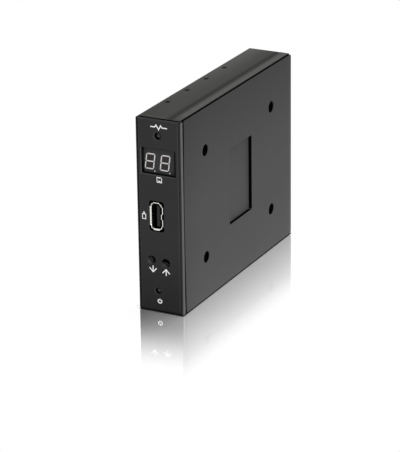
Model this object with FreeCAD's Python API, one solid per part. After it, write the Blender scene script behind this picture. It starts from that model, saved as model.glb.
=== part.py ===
import FreeCAD, Part
import math
import os

from FreeCAD import Vector

# A floppy drive emulator in a 3.5-inch drive's form, standing on its long narrow side.
# X runs through the thin way from the underside to the lid, Y runs back from the front
# plate, and Z is up along the drive's width. The origin is the middle of the footprint.
# All lengths are millimetres. Places on Y are written as depths behind the front.

# Overall form
DRIVE_WIDTH = 101.6
DRIVE_THICKNESS = 24.6
DRIVE_DEPTH = 127.0

# Tray: the moulded shell that carries everything
TRAY_WALL = 2.0
LONG_EDGE_RADIUS = 1.0
INNER_CORNER_RADIUS = 0.8
FRONT_FRAME_DEPTH = 2.2
FRONT_FRAME_LEDGE = 2.2
FRONT_LIP = 0.4
FRONT_LIP_LID_SIDE = 0.8
FRONT_LIP_ROUND = 0.2
FRAME_CORNER_LENGTH = 6.2
FRAME_CORNER_EXTRA = 0.5
BAND_WIDTH = 7.1
BAND_DROP = 0.25
BAND_GROOVE_WIDTH = 2.2
BAND_GROOVE_DEPTH = 0.3

# Lid and its seam
LID_THICKNESS = 3.0
LID_LIP = 0.3
LID_SEAM = 0.95
LID_SIDE_SETBACK = 0.5
LID_REAR_SETBACK = 0.3
LID_FIT = 0.2
LID_FRONT_GAP = 1.5
LID_FRONT_CROWN = 0.6
LID_EDGE_ROUND = 0.2
REAR_CORNER_RADIUS = 1.0
LABEL_LENGTH = 25.9
LABEL_WIDTH = 40.6
LABEL_DEPTH = 1.9
LABEL_FIRST_Y = 52.7
LABEL_CORNER_RADIUS = 0.4

# Lid screws, their wells and posts
SCREW_FIRST_Y = 26.4
SCREW_FROM_REAR = 24.8
SCREW_SPACING_Z = 56.7
WELL_DIAMETER = 6.0
WELL_DEPTH = 11.0
WELL_WALL = 1.5
WELL_FLOOR = 1.6
WELL_ROUND = 0.3
POST_DIAMETER = 6.0
POST_SHOULDER_DIAMETER = 9.0
POST_CORE_DIAMETER = 2.2
POST_CORE_FLOOR = 1.0
SCREW_SHANK_DIAMETER = 2.1
SCREW_SHANK_LENGTH = 8.0
SCREW_HEAD_DIAMETER = 5.2
SCREW_HEAD_HEIGHT = 1.9
SCREW_PASS_DIAMETER = 3.0
CROSS_WIDTH = 0.8
CROSS_LENGTH = 2.8
CROSS_DEPTH = 1.1

# Side fixing holes for M3 screws, four on each long side
SIDE_HOLE_COUNT = 4
SIDE_HOLE_FIRST_Y = 26.5
SIDE_HOLE_PITCH = 21.0
SIDE_HOLE_FROM_UNDERSIDE = 3.75
SIDE_HOLE_DIAMETER = 2.6
SIDE_HOLE_DEPTH = 5.0
SIDE_HOLE_CHAMFER = 0.3
SIDE_BOSS_LENGTH = 7.0
SIDE_BOSS_WALL = 1.5

# Front plate
PLATE_THICKNESS = 1.4
PLATE_SHY = 0.05
PLATE_GAP = 0.3
PLATE_END_GAP = 0.3
PLATE_CORNER_RADIUS = 0.9
PLATE_CHAMFER = 0.8
PLATE_BACKING = 1.0
PLATE_STEP_FIT = 0.3
WINDOW_WIDTH = 18.7
WINDOW_HEIGHT = 13.3
WINDOW_X = -0.35
WINDOW_FROM_TOP = 22.35
WINDOW_CHAMFER = 0.45
WINDOW_BACK_STEP = 0.5
WINDOW_RADIUS = 0.4
BUSY_LAMP_HOLE = 3.7
POWER_LAMP_HOLE = 3.2
LAMP_HOLE_CHAMFER = 0.5
BUSY_LAMP_X = -0.5
BUSY_LAMP_FROM_TOP = 8.9
POWER_LAMP_X = -1.8
POWER_LAMP_Z = 11.3
BUTTON_HOLE_DIAMETER = 4.4
BUTTON_HOLE_CHAMFER = 0.5
BUTTON_COLLAR_WALL = 0.9
BUTTON_COLLAR_DEPTH = 2.2
BUTTON_MIDDLE_X = -1.25
BUTTON_PITCH = 8.0
UP_BUTTON_Z = 26.75
DOWN_BUTTON_RISE = 0.5
SOCKET_CUT_WIDTH = 8.3
SOCKET_CUT_HEIGHT = 16.0
SOCKET_CUT_RADIUS = 1.6
SOCKET_CUT_CHAMFER = 0.3

# Boards
BOARD_THICKNESS = 1.6
BOARD_LIFT = 3.9
MAIN_BOARD_MARGIN = 5.8
MAIN_BOARD_FRONT_GAP = 0.3
MAIN_BOARD_REAR_GAP = 0.6
MAIN_BOARD_TAB_WIDTH = 19.0
MAIN_BOARD_TAB_Y = 3.2
BOARD_CORNER_RADIUS = 0.8
BOARD_HOLE_FIT = 0.3
FRONT_BOARD_Y = 9.2
FRONT_BOARD_END_GAP = 0.6
FRONT_BOARD_LID_GAP = 0.3
FRONT_BOARD_NOTCH_FIT = 0.8
FRONT_BOARD_NOTCH_TO_X = 3.4
GUIDE_RIB_WIDTH = 0.9
GUIDE_RIB_HEIGHT = 1.6
GUIDE_RIB_FIT = 0.1

# Board screws
BOARD_SCREW_FROM_MIDDLE = 0.5
BOARD_SCREW_INSET = 10.5
BOARD_PILLAR_DIAMETER = 6.0
BOARD_SCREW_LENGTH = 4.8

# Two-digit display
DISPLAY_WIDTH = 17.2
DISPLAY_HEIGHT = 12.9
DISPLAY_FACE_Y = 2.2
DISPLAY_X = -1.0
DISPLAY_FROM_TOP = 22.6
DISPLAY_EDGE = 0.2
DIGITS_ASIDE = 0.7
DIGITS_BELOW = 0.4
DIGIT_PITCH = 8.3
DIGIT_HEIGHT = 8.4
DIGIT_WIDTH = 5.25
DIGIT_SLANT_DEG = 7.5
SEGMENT_WIDTH = 0.7
SEGMENT_GAP = 0.12
SEGMENT_DEPTH = 0.3
POINT_DIAMETER = 0.7
POINT_ASIDE = 2.5
POINT_BELOW = 4.9
PIN_WIDTH = 0.6
DISPLAY_PIN_COUNT = 5
DISPLAY_PIN_PITCH = 2.54
DISPLAY_PIN_ROWS_APART = 10.16
DISPLAY_PIN_PROUD = 1.0

# Lamps: 3 mm light-emitting diodes on spacers
LAMP_DIAMETER = 3.0
LAMP_TIP_Y = 1.0
LAMP_BODY_LENGTH = 5.2
LAMP_FLANGE_DIAMETER = 3.8
LAMP_FLANGE_HEIGHT = 1.0
LAMP_LEAD_WIDTH = 0.5
LAMP_LEAD_PITCH = 2.54
LAMP_SPACER_BORE = 0.7

# Push switches
SWITCH_SIZE = 6.0
SWITCH_BODY_HEIGHT = 3.5
SWITCH_COVER_THICKNESS = 0.3
SWITCH_WALL_BORE = 0.05
PLUNGER_END_FIT = 0.3
SWITCH_RIVET_DIAMETER = 0.9
SWITCH_RIVET_HEIGHT = 0.35
SWITCH_RIVET_INSET = 0.8
SWITCH_LEG_WIDTH = 0.7
SWITCH_LEG_THICKNESS = 0.3
PLUNGER_DIAMETER = 3.5
PLUNGER_TIP_Y = 2.6
PLUNGER_INSERTION = 1.4
PLUNGER_TIP_ROUND = 0.3
PLUNGER_TRAVEL = 0.4

# USB socket
SHELL_WIDTH = 5.9
SHELL_HEIGHT = 13.2
SHELL_LENGTH = 14.0
SHELL_SHEET = 0.35
SHELL_RADIUS = 0.9
SHELL_MOUTH_Y = 0.1
SHELL_ABOVE_MIDDLE = 0.1
LIP_REACH = 0.65
LIP_LENGTH = 0.6
LONG_LIP_WIDTH = 10.0
END_LIP_WIDTH = 3.4
HALF_LIP_WIDTH = 3.8
HALF_LIPS_APART = 6.5
FINGER_WIDTH = 2.2
FINGER_LENGTH = 5.0
FINGER_FIRST_Y = 1.6
FINGER_SPACING = 6.1
FINGER_CUT_GAP = 0.4
FINGER_BEND = 0.45
SHELL_LEG_WIDTH = 2.2
SHELL_LEG_DROP = 2.2
TONGUE_THICKNESS = 1.8
TONGUE_WIDTH = 11.1
TONGUE_FIRST_Y = 0.9
TONGUE_EDGE = 0.3
TONGUE_FROM_SHELL = 1.05
TONGUE_BASE_LENGTH = 3.6
CONTACT_COUNT = 4
CONTACT_WIDTH = 1.0
CONTACT_SPACING = 2.3
CONTACT_PROUD = 0.15

# Rear connectors
FLOPPY_PIN_COLUMNS = 17
FLOPPY_PIN_ROWS = 2
HEADER_PITCH = 2.54
HEADER_PIN = 0.64
HEADER_LENGTH = 50.2
HEADER_HEIGHT = 8.9
HEADER_DEPTH = 9.1
HEADER_WALL = 1.15
HEADER_FLOOR = 2.6
HEADER_KEY_WIDTH = 4.5
PIN_HOLE_FIT = 0.1
HEADER_REAR_GAP = 0.5
HEADER_PIN_SHY = 2.0
PIN_TAIL_DROP = 3.0
PIN_TAIL_STEP = 2.0
JUMPER_ROWS = 2
JUMPER_COLUMNS = 7
JUMPER_BLOCK_DEPTH = 2.5
JUMPER_PIN_LENGTH = 6.0
SHUNT_FROM_LAST = 1
SHUNT_WIDTH = 2.3
SHUNT_LENGTH = 5.0
SHUNT_HEIGHT = 4.9
SHUNT_WALL = 0.5
POWER_PIN_COUNT = 4
POWER_PIN_PITCH = 2.5
POWER_LENGTH = 11.6
POWER_HEIGHT = 6.4
POWER_DEPTH = 9.5
POWER_WALL = 0.8
POWER_FLOOR = 1.6
REAR_WINDOW_FIT = 0.5
REAR_PARTS_COUNT = 13
REAR_BELOW_COUNT = 6
REAR_BETWEEN_COUNT = 2

# Parts on the main board
CHIP_SIZE = 10.0
CHIP_HEIGHT = 1.4
CHIP_STANDOFF = 0.15
CHIP_Y = 58.0
CHIP_ABOVE_MIDDLE = 0.2
CHIP_PINS_PER_SIDE = 16
CHIP_PIN_PITCH = 0.5
CHIP_PIN_WIDTH = 0.22
CHIP_PIN_REACH = 1.0
CHIP_PIN_THICKNESS = 0.15
BUFFER_COUNT = 2
BUFFER_LENGTH = 8.7
BUFFER_WIDTH = 3.9
BUFFER_HEIGHT = 1.5
BUFFER_PINS_PER_SIDE = 7
BUFFER_PIN_PITCH = 1.27
BUFFER_PIN_WIDTH = 0.4
BUFFER_FROM_REAR = 31.0
BUFFER_FIRST_Z = 30.0
BUFFER_SPACING = 14.0
CRYSTAL_LENGTH = 11.0
CRYSTAL_WIDTH = 4.6
CRYSTAL_HEIGHT = 3.5
CRYSTAL_Y = 44.0
REGULATOR_LENGTH = 6.5
REGULATOR_WIDTH = 3.5
REGULATOR_HEIGHT = 1.7
REGULATOR_FROM_REAR = 33.0
REGULATOR_FROM_TOP = 13.6
REGULATOR_TAB = 1.6
CAPACITOR_DIAMETER = 6.3
CAPACITOR_HEIGHT = 5.4
CAPACITOR_BASE_HEIGHT = 0.9
CAPACITOR_FROM_REAR = 16.3
CAPACITOR_FROM_TOP = 11.6
CAPACITOR_SPACING = 26.0
RESISTOR_COUNT = 8
RESISTOR_LENGTH = 2.0
RESISTOR_WIDTH = 1.25
RESISTOR_HEIGHT = 0.55
RESISTOR_FROM_REAR = 43.0
RESISTOR_FIRST_Z = 30.0
RESISTOR_SPACING = 4.0
LINK_PIN_COUNT = 9
LINK_BELOW_SHELL = 3.0
LINK_BLOCK = 2.5

# Places worked out from the sizes above
UNDERSIDE_X = -DRIVE_THICKNESS / 2
LID_FACE_X = DRIVE_THICKNESS / 2
FRONT_Y = -DRIVE_DEPTH / 2
REAR_Y = DRIVE_DEPTH / 2
MIDDLE_Z = DRIVE_WIDTH / 2
FLOOR_X = UNDERSIDE_X + TRAY_WALL
RIM_X = LID_FACE_X - LID_LIP - LID_SEAM
LID_INNER_X = LID_FACE_X - LID_THICKNESS
BOARD_X = FLOOR_X + BOARD_LIFT
BOARD_TOP_X = BOARD_X + BOARD_THICKNESS
WELL_FLOOR_X = LID_FACE_X - WELL_DEPTH
POST_TOP_X = WELL_FLOOR_X - WELL_FLOOR
SHELL_X = BOARD_TOP_X + SHELL_WIDTH / 2
SHELL_Z = MIDDLE_Z + SHELL_ABOVE_MIDDLE
CHIP_Z = MIDDLE_Z + CHIP_ABOVE_MIDDLE
WINDOW_Z = DRIVE_WIDTH - WINDOW_FROM_TOP
DISPLAY_Z = DRIVE_WIDTH - DISPLAY_FROM_TOP
LEDGE_Y = FRONT_Y + PLATE_THICKNESS
PLATE_FACE_Y = FRONT_Y + PLATE_SHY
FRONT_BOARD_FRONT = FRONT_Y + FRONT_BOARD_Y
FRONT_BOARD_BACK = FRONT_BOARD_FRONT + BOARD_THICKNESS
REAR_WALL_Y = REAR_Y - TRAY_WALL
BAND_X = LID_FACE_X - BAND_WIDTH
SCREW_PLACES = [
    (y, MIDDLE_Z + side * SCREW_SPACING_Z / 2)
    for y in (FRONT_Y + SCREW_FIRST_Y, REAR_Y - SCREW_FROM_REAR)
    for side in (-1, 1)
]
BOARD_SCREW_PLACES = [
    (BOARD_SCREW_FROM_MIDDLE, BOARD_SCREW_INSET),
    (BOARD_SCREW_FROM_MIDDLE, DRIVE_WIDTH - BOARD_SCREW_INSET),
]
SIDE_HOLE_YS = [FRONT_Y + SIDE_HOLE_FIRST_Y + i * SIDE_HOLE_PITCH for i in range(SIDE_HOLE_COUNT)]
SIDE_HOLE_X = UNDERSIDE_X + SIDE_HOLE_FROM_UNDERSIDE
DOWN_BUTTON_PLACE = (BUTTON_MIDDLE_X - BUTTON_PITCH / 2, UP_BUTTON_Z + DOWN_BUTTON_RISE)
UP_BUTTON_PLACE = (BUTTON_MIDDLE_X + BUTTON_PITCH / 2, UP_BUTTON_Z)
BUTTON_PLACES = (DOWN_BUTTON_PLACE, UP_BUTTON_PLACE)
LAMP_PLACES = ((BUSY_LAMP_X, DRIVE_WIDTH - BUSY_LAMP_FROM_TOP), (POWER_LAMP_X, POWER_LAMP_Z))

# The three rear connectors stand in a row. The room left over is shared out in equal parts: so many
# below the row, so many between two connectors and the rest above the row.
JUMPER_LENGTH = JUMPER_COLUMNS * HEADER_PITCH
REAR_ROOM = DRIVE_WIDTH - 2 * TRAY_WALL - HEADER_LENGTH - JUMPER_LENGTH - POWER_LENGTH
REAR_PART = REAR_ROOM / REAR_PARTS_COUNT
REAR_GAP = REAR_BETWEEN_COUNT * REAR_PART
HEADER_Z = TRAY_WALL + REAR_BELOW_COUNT * REAR_PART + HEADER_LENGTH / 2
JUMPER_Z = HEADER_Z + HEADER_LENGTH / 2 + REAR_GAP + JUMPER_LENGTH / 2
POWER_Z = JUMPER_Z + JUMPER_LENGTH / 2 + REAR_GAP + POWER_LENGTH / 2

# The link between the boards stands a little below the socket
LINK_LENGTH = LINK_PIN_COUNT * HEADER_PITCH
LINK_Z = SHELL_Z - SHELL_HEIGHT / 2 - LINK_BELOW_SHELL - LINK_LENGTH / 2

# How far a cutting tool runs past the face that it opens
THROUGH = 1.0


def block(x0, x1, y0, y1, z0, z1):
    """A box between two corners."""
    return Part.makeBox(x1 - x0, y1 - y0, z1 - z0, Vector(x0, y0, z0))


def rod(x, y, z, radius, length, direction):
    """A cylinder that starts at a point and runs along a direction."""
    return Part.makeCylinder(radius, length, Vector(x, y, z), direction)


def cone(x, y, z, start_radius, end_radius, length, direction):
    """A cone frustum that starts at a point and runs along a direction."""
    return Part.makeCone(start_radius, end_radius, length, Vector(x, y, z), direction)


def outline(corners):
    """A closed wire through (point, radius) corners, each rounded by a tangent arc of its radius."""
    edges = []
    starts = []
    ends = []
    arcs = []
    count = len(corners)
    for i, (point, radius) in enumerate(corners):
        before = corners[i - 1][0]
        after = corners[(i + 1) % count][0]
        to_before = (before - point).normalize()
        to_after = (after - point).normalize()
        if radius <= 0:
            starts.append(point)
            ends.append(point)
            arcs.append(None)
            continue
        half = to_before.getAngle(to_after) / 2
        reach = radius / math.tan(half)
        first = point + to_before * reach
        last = point + to_after * reach
        centre = point + (to_before + to_after).normalize() * (radius / math.sin(half))
        middle = centre + (point - centre).normalize() * radius
        starts.append(first)
        ends.append(last)
        arcs.append(Part.Arc(first, middle, last).toShape())
    for i in range(count):
        if arcs[i]:
            edges.append(arcs[i])
        following = starts[(i + 1) % count]
        if (following - ends[i]).Length > 1e-6:
            edges.append(Part.LineSegment(ends[i], following).toShape())
    return Part.Wire(edges)


def prism(corners, along):
    """The solid that an outline sweeps along a vector."""
    return Part.Face(outline(corners)).extrude(along)


def plate_xz(x0, x1, z0, z1, y0, depth, radius):
    """A plate across the front-to-back axis with four rounded corners."""
    corners = [
        (Vector(x0, y0, z0), radius),
        (Vector(x1, y0, z0), radius),
        (Vector(x1, y0, z1), radius),
        (Vector(x0, y0, z1), radius),
    ]
    return prism(corners, Vector(0, depth, 0))


def bored(x, z, radius, depth, chamfer):
    """The cutters of a round hole through the front plate, with a chamfered mouth."""
    back = Vector(0, 1, 0)
    hole = rod(x, FRONT_Y - THROUGH, z, radius, depth + 2 * THROUGH, back)
    return [hole, cone(x, PLATE_FACE_Y, z, radius + chamfer, radius, chamfer, back)]


def plate_yz(x0, depth, y0, y1, z0, z1, radius):
    """A plate across the thin axis with four rounded corners."""
    corners = [
        (Vector(x0, y0, z0), radius),
        (Vector(x0, y1, z0), radius),
        (Vector(x0, y1, z1), radius),
        (Vector(x0, y0, z1), radius),
    ]
    return prism(corners, Vector(depth, 0, 0))


def fuse(shapes):
    """One solid from touching or overlapping shapes, with its coplanar faces joined."""
    first, rest = shapes[0], shapes[1:]
    return first.multiFuse(rest).removeSplitter() if rest else first


def save(name, shape):
    shape.exportStep(f"parts/{name}.step")


def rear_limit(z0, z1, rear_y):
    """The space in front of a rear end whose two corners are rounded, seen from the thin way."""
    x = UNDERSIDE_X - THROUGH
    front = FRONT_Y - THROUGH
    corners = [
        (Vector(x, front, z0), 0),
        (Vector(x, rear_y, z0), REAR_CORNER_RADIUS),
        (Vector(x, rear_y, z1), REAR_CORNER_RADIUS),
        (Vector(x, front, z1), 0),
    ]
    return prism(corners, Vector(DRIVE_THICKNESS + 2 * THROUGH, 0, 0))


def band_side(outer_z, inward):
    """The outer points of one long side: flat, a shallow groove, then a band that falls towards the lid."""
    groove_half = BAND_GROOVE_WIDTH / 2
    return [
        (Vector(BAND_X - groove_half, 0, outer_z), 0),
        (Vector(BAND_X, 0, outer_z + inward * BAND_GROOVE_DEPTH), 0),
        (Vector(BAND_X + groove_half, 0, outer_z), 0),
        (Vector(RIM_X, 0, outer_z + inward * BAND_DROP), 0),
    ]


def channel():
    """The tray's U section, with rounded outer edges along the underside, over the whole depth."""
    low = band_side(0.0, 1)
    high = band_side(DRIVE_WIDTH, -1)
    corners = [(Vector(UNDERSIDE_X, 0, 0), LONG_EDGE_RADIUS)]
    corners += low
    corners += [
        (Vector(RIM_X, 0, TRAY_WALL), 0),
        (Vector(FLOOR_X, 0, TRAY_WALL), INNER_CORNER_RADIUS),
        (Vector(FLOOR_X, 0, DRIVE_WIDTH - TRAY_WALL), INNER_CORNER_RADIUS),
        (Vector(RIM_X, 0, DRIVE_WIDTH - TRAY_WALL), 0),
    ]
    corners += reversed(high)
    corners += [(Vector(UNDERSIDE_X, 0, DRIVE_WIDTH), LONG_EDGE_RADIUS)]
    section = prism(corners, Vector(0, DRIVE_DEPTH, 0))
    section.translate(Vector(0, FRONT_Y, 0))
    return section


def front_frame():
    """The ring round the front plate: a rounded lip beside each long edge and a ledge behind the plate."""
    ring = plate_xz(
        UNDERSIDE_X, LID_FACE_X, 0, DRIVE_WIDTH, FRONT_Y, FRONT_FRAME_DEPTH, LONG_EDGE_RADIUS
    )
    front_edges = [e for e in ring.Edges if e.BoundBox.YMax < FRONT_Y + 1e-4]
    ring = ring.makeFillet(FRONT_LIP_ROUND, front_edges)
    inner = LID_FACE_X - FRONT_FRAME_LEDGE
    corner_y = FRONT_Y + FRONT_FRAME_DEPTH
    pad = block(inner, LID_FACE_X, corner_y, corner_y + FRAME_CORNER_EXTRA, 0, FRAME_CORNER_LENGTH)
    outer = plate_xz(
        UNDERSIDE_X, LID_FACE_X, 0, DRIVE_WIDTH, FRONT_Y, DRIVE_DEPTH, LONG_EDGE_RADIUS
    )
    pad = pad.common(outer)
    opening = plate_xz(
        UNDERSIDE_X + FRONT_FRAME_LEDGE,
        LID_FACE_X - FRONT_FRAME_LEDGE,
        FRONT_FRAME_LEDGE,
        DRIVE_WIDTH - FRONT_FRAME_LEDGE,
        FRONT_Y - THROUGH,
        FRONT_FRAME_DEPTH + 2 * THROUGH,
        INNER_CORNER_RADIUS,
    )
    rebate = plate_xz(
        UNDERSIDE_X + FRONT_LIP,
        LID_FACE_X - FRONT_LIP_LID_SIDE,
        -THROUGH,
        DRIVE_WIDTH + THROUGH,
        FRONT_Y - THROUGH,
        PLATE_THICKNESS + THROUGH,
        0,
    )
    return ring, pad, [opening, rebate]


def rear_wall():
    """The rear wall up to the lid's seam, with a window for each connector."""
    wall = block(
        FLOOR_X - TRAY_WALL / 2, RIM_X, REAR_WALL_Y, REAR_Y, TRAY_WALL / 2, DRIVE_WIDTH - TRAY_WALL / 2
    )
    windows = []
    for middle, length, height in (
        (HEADER_Z, HEADER_LENGTH, HEADER_HEIGHT),
        (JUMPER_Z, JUMPER_LENGTH, 2 * HEADER_PITCH + SHUNT_WALL),
        (POWER_Z, POWER_LENGTH, POWER_HEIGHT),
    ):
        windows.append(
            block(
                BOARD_TOP_X - REAR_WINDOW_FIT,
                BOARD_TOP_X + height + REAR_WINDOW_FIT,
                REAR_WALL_Y - THROUGH,
                REAR_Y + THROUGH,
                middle - length / 2 - REAR_WINDOW_FIT,
                middle + length / 2 + REAR_WINDOW_FIT,
            )
        )
    return wall, windows


def side_bosses():
    """Blocks behind the side holes, and the tapped holes with a small chamfer."""
    blocks = []
    holes = []
    top = SIDE_HOLE_X + SIDE_HOLE_DIAMETER / 2 + SIDE_BOSS_WALL
    mouth = SIDE_HOLE_DIAMETER / 2 + SIDE_HOLE_CHAMFER
    for y in SIDE_HOLE_YS:
        y0 = y - SIDE_BOSS_LENGTH / 2
        y1 = y + SIDE_BOSS_LENGTH / 2
        for outer_z, inward in ((0.0, 1), (DRIVE_WIDTH, -1)):
            deep = outer_z + inward * SIDE_HOLE_DEPTH
            skin = outer_z + inward * TRAY_WALL / 2
            blocks.append(
                block(FLOOR_X - TRAY_WALL / 2, top, y0, y1, min(skin, deep), max(skin, deep))
            )
            way = Vector(0, 0, inward)
            start = outer_z - inward * THROUGH
            holes.append(
                rod(SIDE_HOLE_X, y, start, SIDE_HOLE_DIAMETER / 2, SIDE_HOLE_DEPTH + 2 * THROUGH, way)
            )
            holes.append(
                cone(SIDE_HOLE_X, y, outer_z, mouth, SIDE_HOLE_DIAMETER / 2, SIDE_HOLE_CHAMFER, way)
            )
    return blocks, holes


def posts():
    """Stepped posts that carry the main board on their shoulders and the lid on their tops."""
    solids = []
    cores = []
    up = Vector(1, 0, 0)
    root = FLOOR_X - TRAY_WALL / 2
    for y, z in SCREW_PLACES:
        solids.append(rod(root, y, z, POST_SHOULDER_DIAMETER / 2, BOARD_X - root, up))
        solids.append(rod(root, y, z, POST_DIAMETER / 2, POST_TOP_X - root, up))
        bottom = UNDERSIDE_X + POST_CORE_FLOOR
        cores.append(rod(bottom, y, z, POST_CORE_DIAMETER / 2, POST_TOP_X - bottom + THROUGH, up))
    for y, z in BOARD_SCREW_PLACES:
        solids.append(rod(root, y, z, BOARD_PILLAR_DIAMETER / 2, BOARD_X - root, up))
        bottom = UNDERSIDE_X + POST_CORE_FLOOR
        cores.append(rod(bottom, y, z, POST_CORE_DIAMETER / 2, BOARD_X - bottom + THROUGH, up))
    return solids, cores


def guide_ribs():
    """Pairs of ribs on both side walls that hold the front board's ends."""
    ribs = []
    top = LID_INNER_X - FRONT_BOARD_LID_GAP
    for outer_z, inward in ((0.0, 1), (DRIVE_WIDTH, -1)):
        z_root = outer_z + inward * TRAY_WALL / 2
        z_tip = outer_z + inward * (TRAY_WALL + GUIDE_RIB_HEIGHT)
        for y in (
            FRONT_BOARD_FRONT - GUIDE_RIB_FIT - GUIDE_RIB_WIDTH,
            FRONT_BOARD_BACK + GUIDE_RIB_FIT,
        ):
            ribs.append(
                block(
                    FLOOR_X - TRAY_WALL / 2,
                    top,
                    y,
                    y + GUIDE_RIB_WIDTH,
                    min(z_root, z_tip),
                    max(z_root, z_tip),
                )
            )
    return ribs


def tray():
    ring, pad, ring_cuts = front_frame()
    wall, windows = rear_wall()
    blocks, holes = side_bosses()
    post_solids, cores = posts()
    front_trim = block(
        UNDERSIDE_X - THROUGH, LID_FACE_X, FRONT_Y - THROUGH, FRONT_Y + FRONT_FRAME_DEPTH / 2,
        -THROUGH, DRIVE_WIDTH + THROUGH,
    )
    shell = channel().cut(front_trim)
    body = fuse([shell, ring, pad, wall]).common(rear_limit(0, DRIVE_WIDTH, REAR_Y))
    for cutter in ring_cuts + windows:
        body = body.cut(cutter)
    body = fuse([body, *blocks, *post_solids, *guide_ribs()])
    for cutter in holes + cores:
        body = body.cut(cutter)
    return body


def face_edges(plate, x, z, width, height):
    """The edges of the plate's front face whose middles lie in a rectangle about (x, z)."""
    return [
        e for e in plate.Edges
        if e.BoundBox.YMax < PLATE_FACE_Y + 1e-4
        and abs(e.BoundBox.Center.x - x) < width / 2 + 1e-3
        and abs(e.BoundBox.Center.z - z) < height / 2 + 1e-3
    ]


def front_plate():
    """The plate in the tray's front frame, with openings for the display, lamps, buttons and socket."""
    face = plate_xz(
        UNDERSIDE_X + FRONT_LIP + PLATE_GAP, LID_FACE_X - FRONT_LIP_LID_SIDE - PLATE_GAP,
        PLATE_END_GAP, DRIVE_WIDTH - PLATE_END_GAP,
        PLATE_FACE_Y, PLATE_THICKNESS - PLATE_SHY, PLATE_CORNER_RADIUS,
    )
    rim = [e for e in face.Edges if e.BoundBox.YMax < PLATE_FACE_Y + 1e-4]
    face = face.makeChamfer(PLATE_CHAMFER, rim)
    step = FRONT_FRAME_LEDGE + PLATE_STEP_FIT
    backing = plate_xz(
        UNDERSIDE_X + step, LID_FACE_X - step, step, DRIVE_WIDTH - step, LEDGE_Y - THROUGH / 2,
        PLATE_BACKING + THROUGH / 2, INNER_CORNER_RADIUS,
    )
    collars = []
    cuts = []
    radius = BUTTON_HOLE_DIAMETER / 2
    collar_radius = radius + BUTTON_COLLAR_WALL
    for x, z in BUTTON_PLACES:
        collars.append(rod(x, LEDGE_Y, z, collar_radius, BUTTON_COLLAR_DEPTH, Vector(0, 1, 0)))
        cuts += bored(x, z, radius, PLATE_THICKNESS + BUTTON_COLLAR_DEPTH, BUTTON_HOLE_CHAMFER)
    for (x, z), hole in zip(LAMP_PLACES, (BUSY_LAMP_HOLE, POWER_LAMP_HOLE)):
        cuts += bored(x, z, hole / 2, PLATE_THICKNESS + PLATE_BACKING, LAMP_HOLE_CHAMFER)
    for grow, start in ((0, FRONT_Y - THROUGH), (WINDOW_BACK_STEP, LEDGE_Y)):
        half_x = WINDOW_WIDTH / 2 + grow
        half_z = WINDOW_HEIGHT / 2 + grow
        cuts.append(
            plate_xz(
                WINDOW_X - half_x, WINDOW_X + half_x, WINDOW_Z - half_z, WINDOW_Z + half_z,
                start, PLATE_THICKNESS + PLATE_BACKING + THROUGH, WINDOW_RADIUS,
            )
        )
    cuts.append(
        plate_xz(
            SHELL_X - SOCKET_CUT_WIDTH / 2, SHELL_X + SOCKET_CUT_WIDTH / 2,
            SHELL_Z - SOCKET_CUT_HEIGHT / 2, SHELL_Z + SOCKET_CUT_HEIGHT / 2,
            FRONT_Y - THROUGH, PLATE_THICKNESS + PLATE_BACKING + 2 * THROUGH, SOCKET_CUT_RADIUS,
        )
    )
    plate = fuse([face, backing, *collars])
    for cutter in cuts:
        plate = plate.cut(cutter)
    window = face_edges(plate, WINDOW_X, WINDOW_Z, WINDOW_WIDTH, WINDOW_HEIGHT)
    plate = plate.makeChamfer(WINDOW_CHAMFER, window)
    mouth = face_edges(plate, SHELL_X, SHELL_Z, SOCKET_CUT_WIDTH, SOCKET_CUT_HEIGHT)
    return plate.makeChamfer(SOCKET_CUT_CHAMFER, mouth)


def lid_front_edge(x, z0, z1, corner_y, edge_y, crown_y):
    """The lid's front edge in one plane: notched at the lower end and slightly crowned above it."""
    low = FRAME_CORNER_LENGTH + LID_SIDE_SETBACK
    high = DRIVE_WIDTH - low
    middle = Vector(x, crown_y, MIDDLE_Z)
    return [
        Part.LineSegment(Vector(x, corner_y, z0), Vector(x, corner_y, low)).toShape(),
        Part.LineSegment(Vector(x, corner_y, low), Vector(x, edge_y, low)).toShape(),
        Part.Arc(Vector(x, edge_y, low), middle, Vector(x, edge_y, high)).toShape(),
        Part.LineSegment(Vector(x, edge_y, high), Vector(x, edge_y, z1)).toShape(),
    ]


def lid_layer(x0, x1, z0, z1, rear_y):
    """One layer of the lid between two planes, with the notched and crowned front edge."""
    edge_y = FRONT_Y + FRONT_FRAME_DEPTH + LID_FRONT_GAP
    corner_y = edge_y + FRAME_CORNER_EXTRA
    edges = lid_front_edge(x0, z0, z1, corner_y, edge_y, edge_y - LID_FRONT_CROWN)
    edges += [
        Part.LineSegment(Vector(x0, edge_y, z1), Vector(x0, rear_y, z1)).toShape(),
        Part.LineSegment(Vector(x0, rear_y, z1), Vector(x0, rear_y, z0)).toShape(),
        Part.LineSegment(Vector(x0, rear_y, z0), Vector(x0, corner_y, z0)).toShape(),
    ]
    return Part.Face(Part.Wire(Part.__sortEdges__(edges))).extrude(Vector(x1 - x0, 0, 0))


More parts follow.
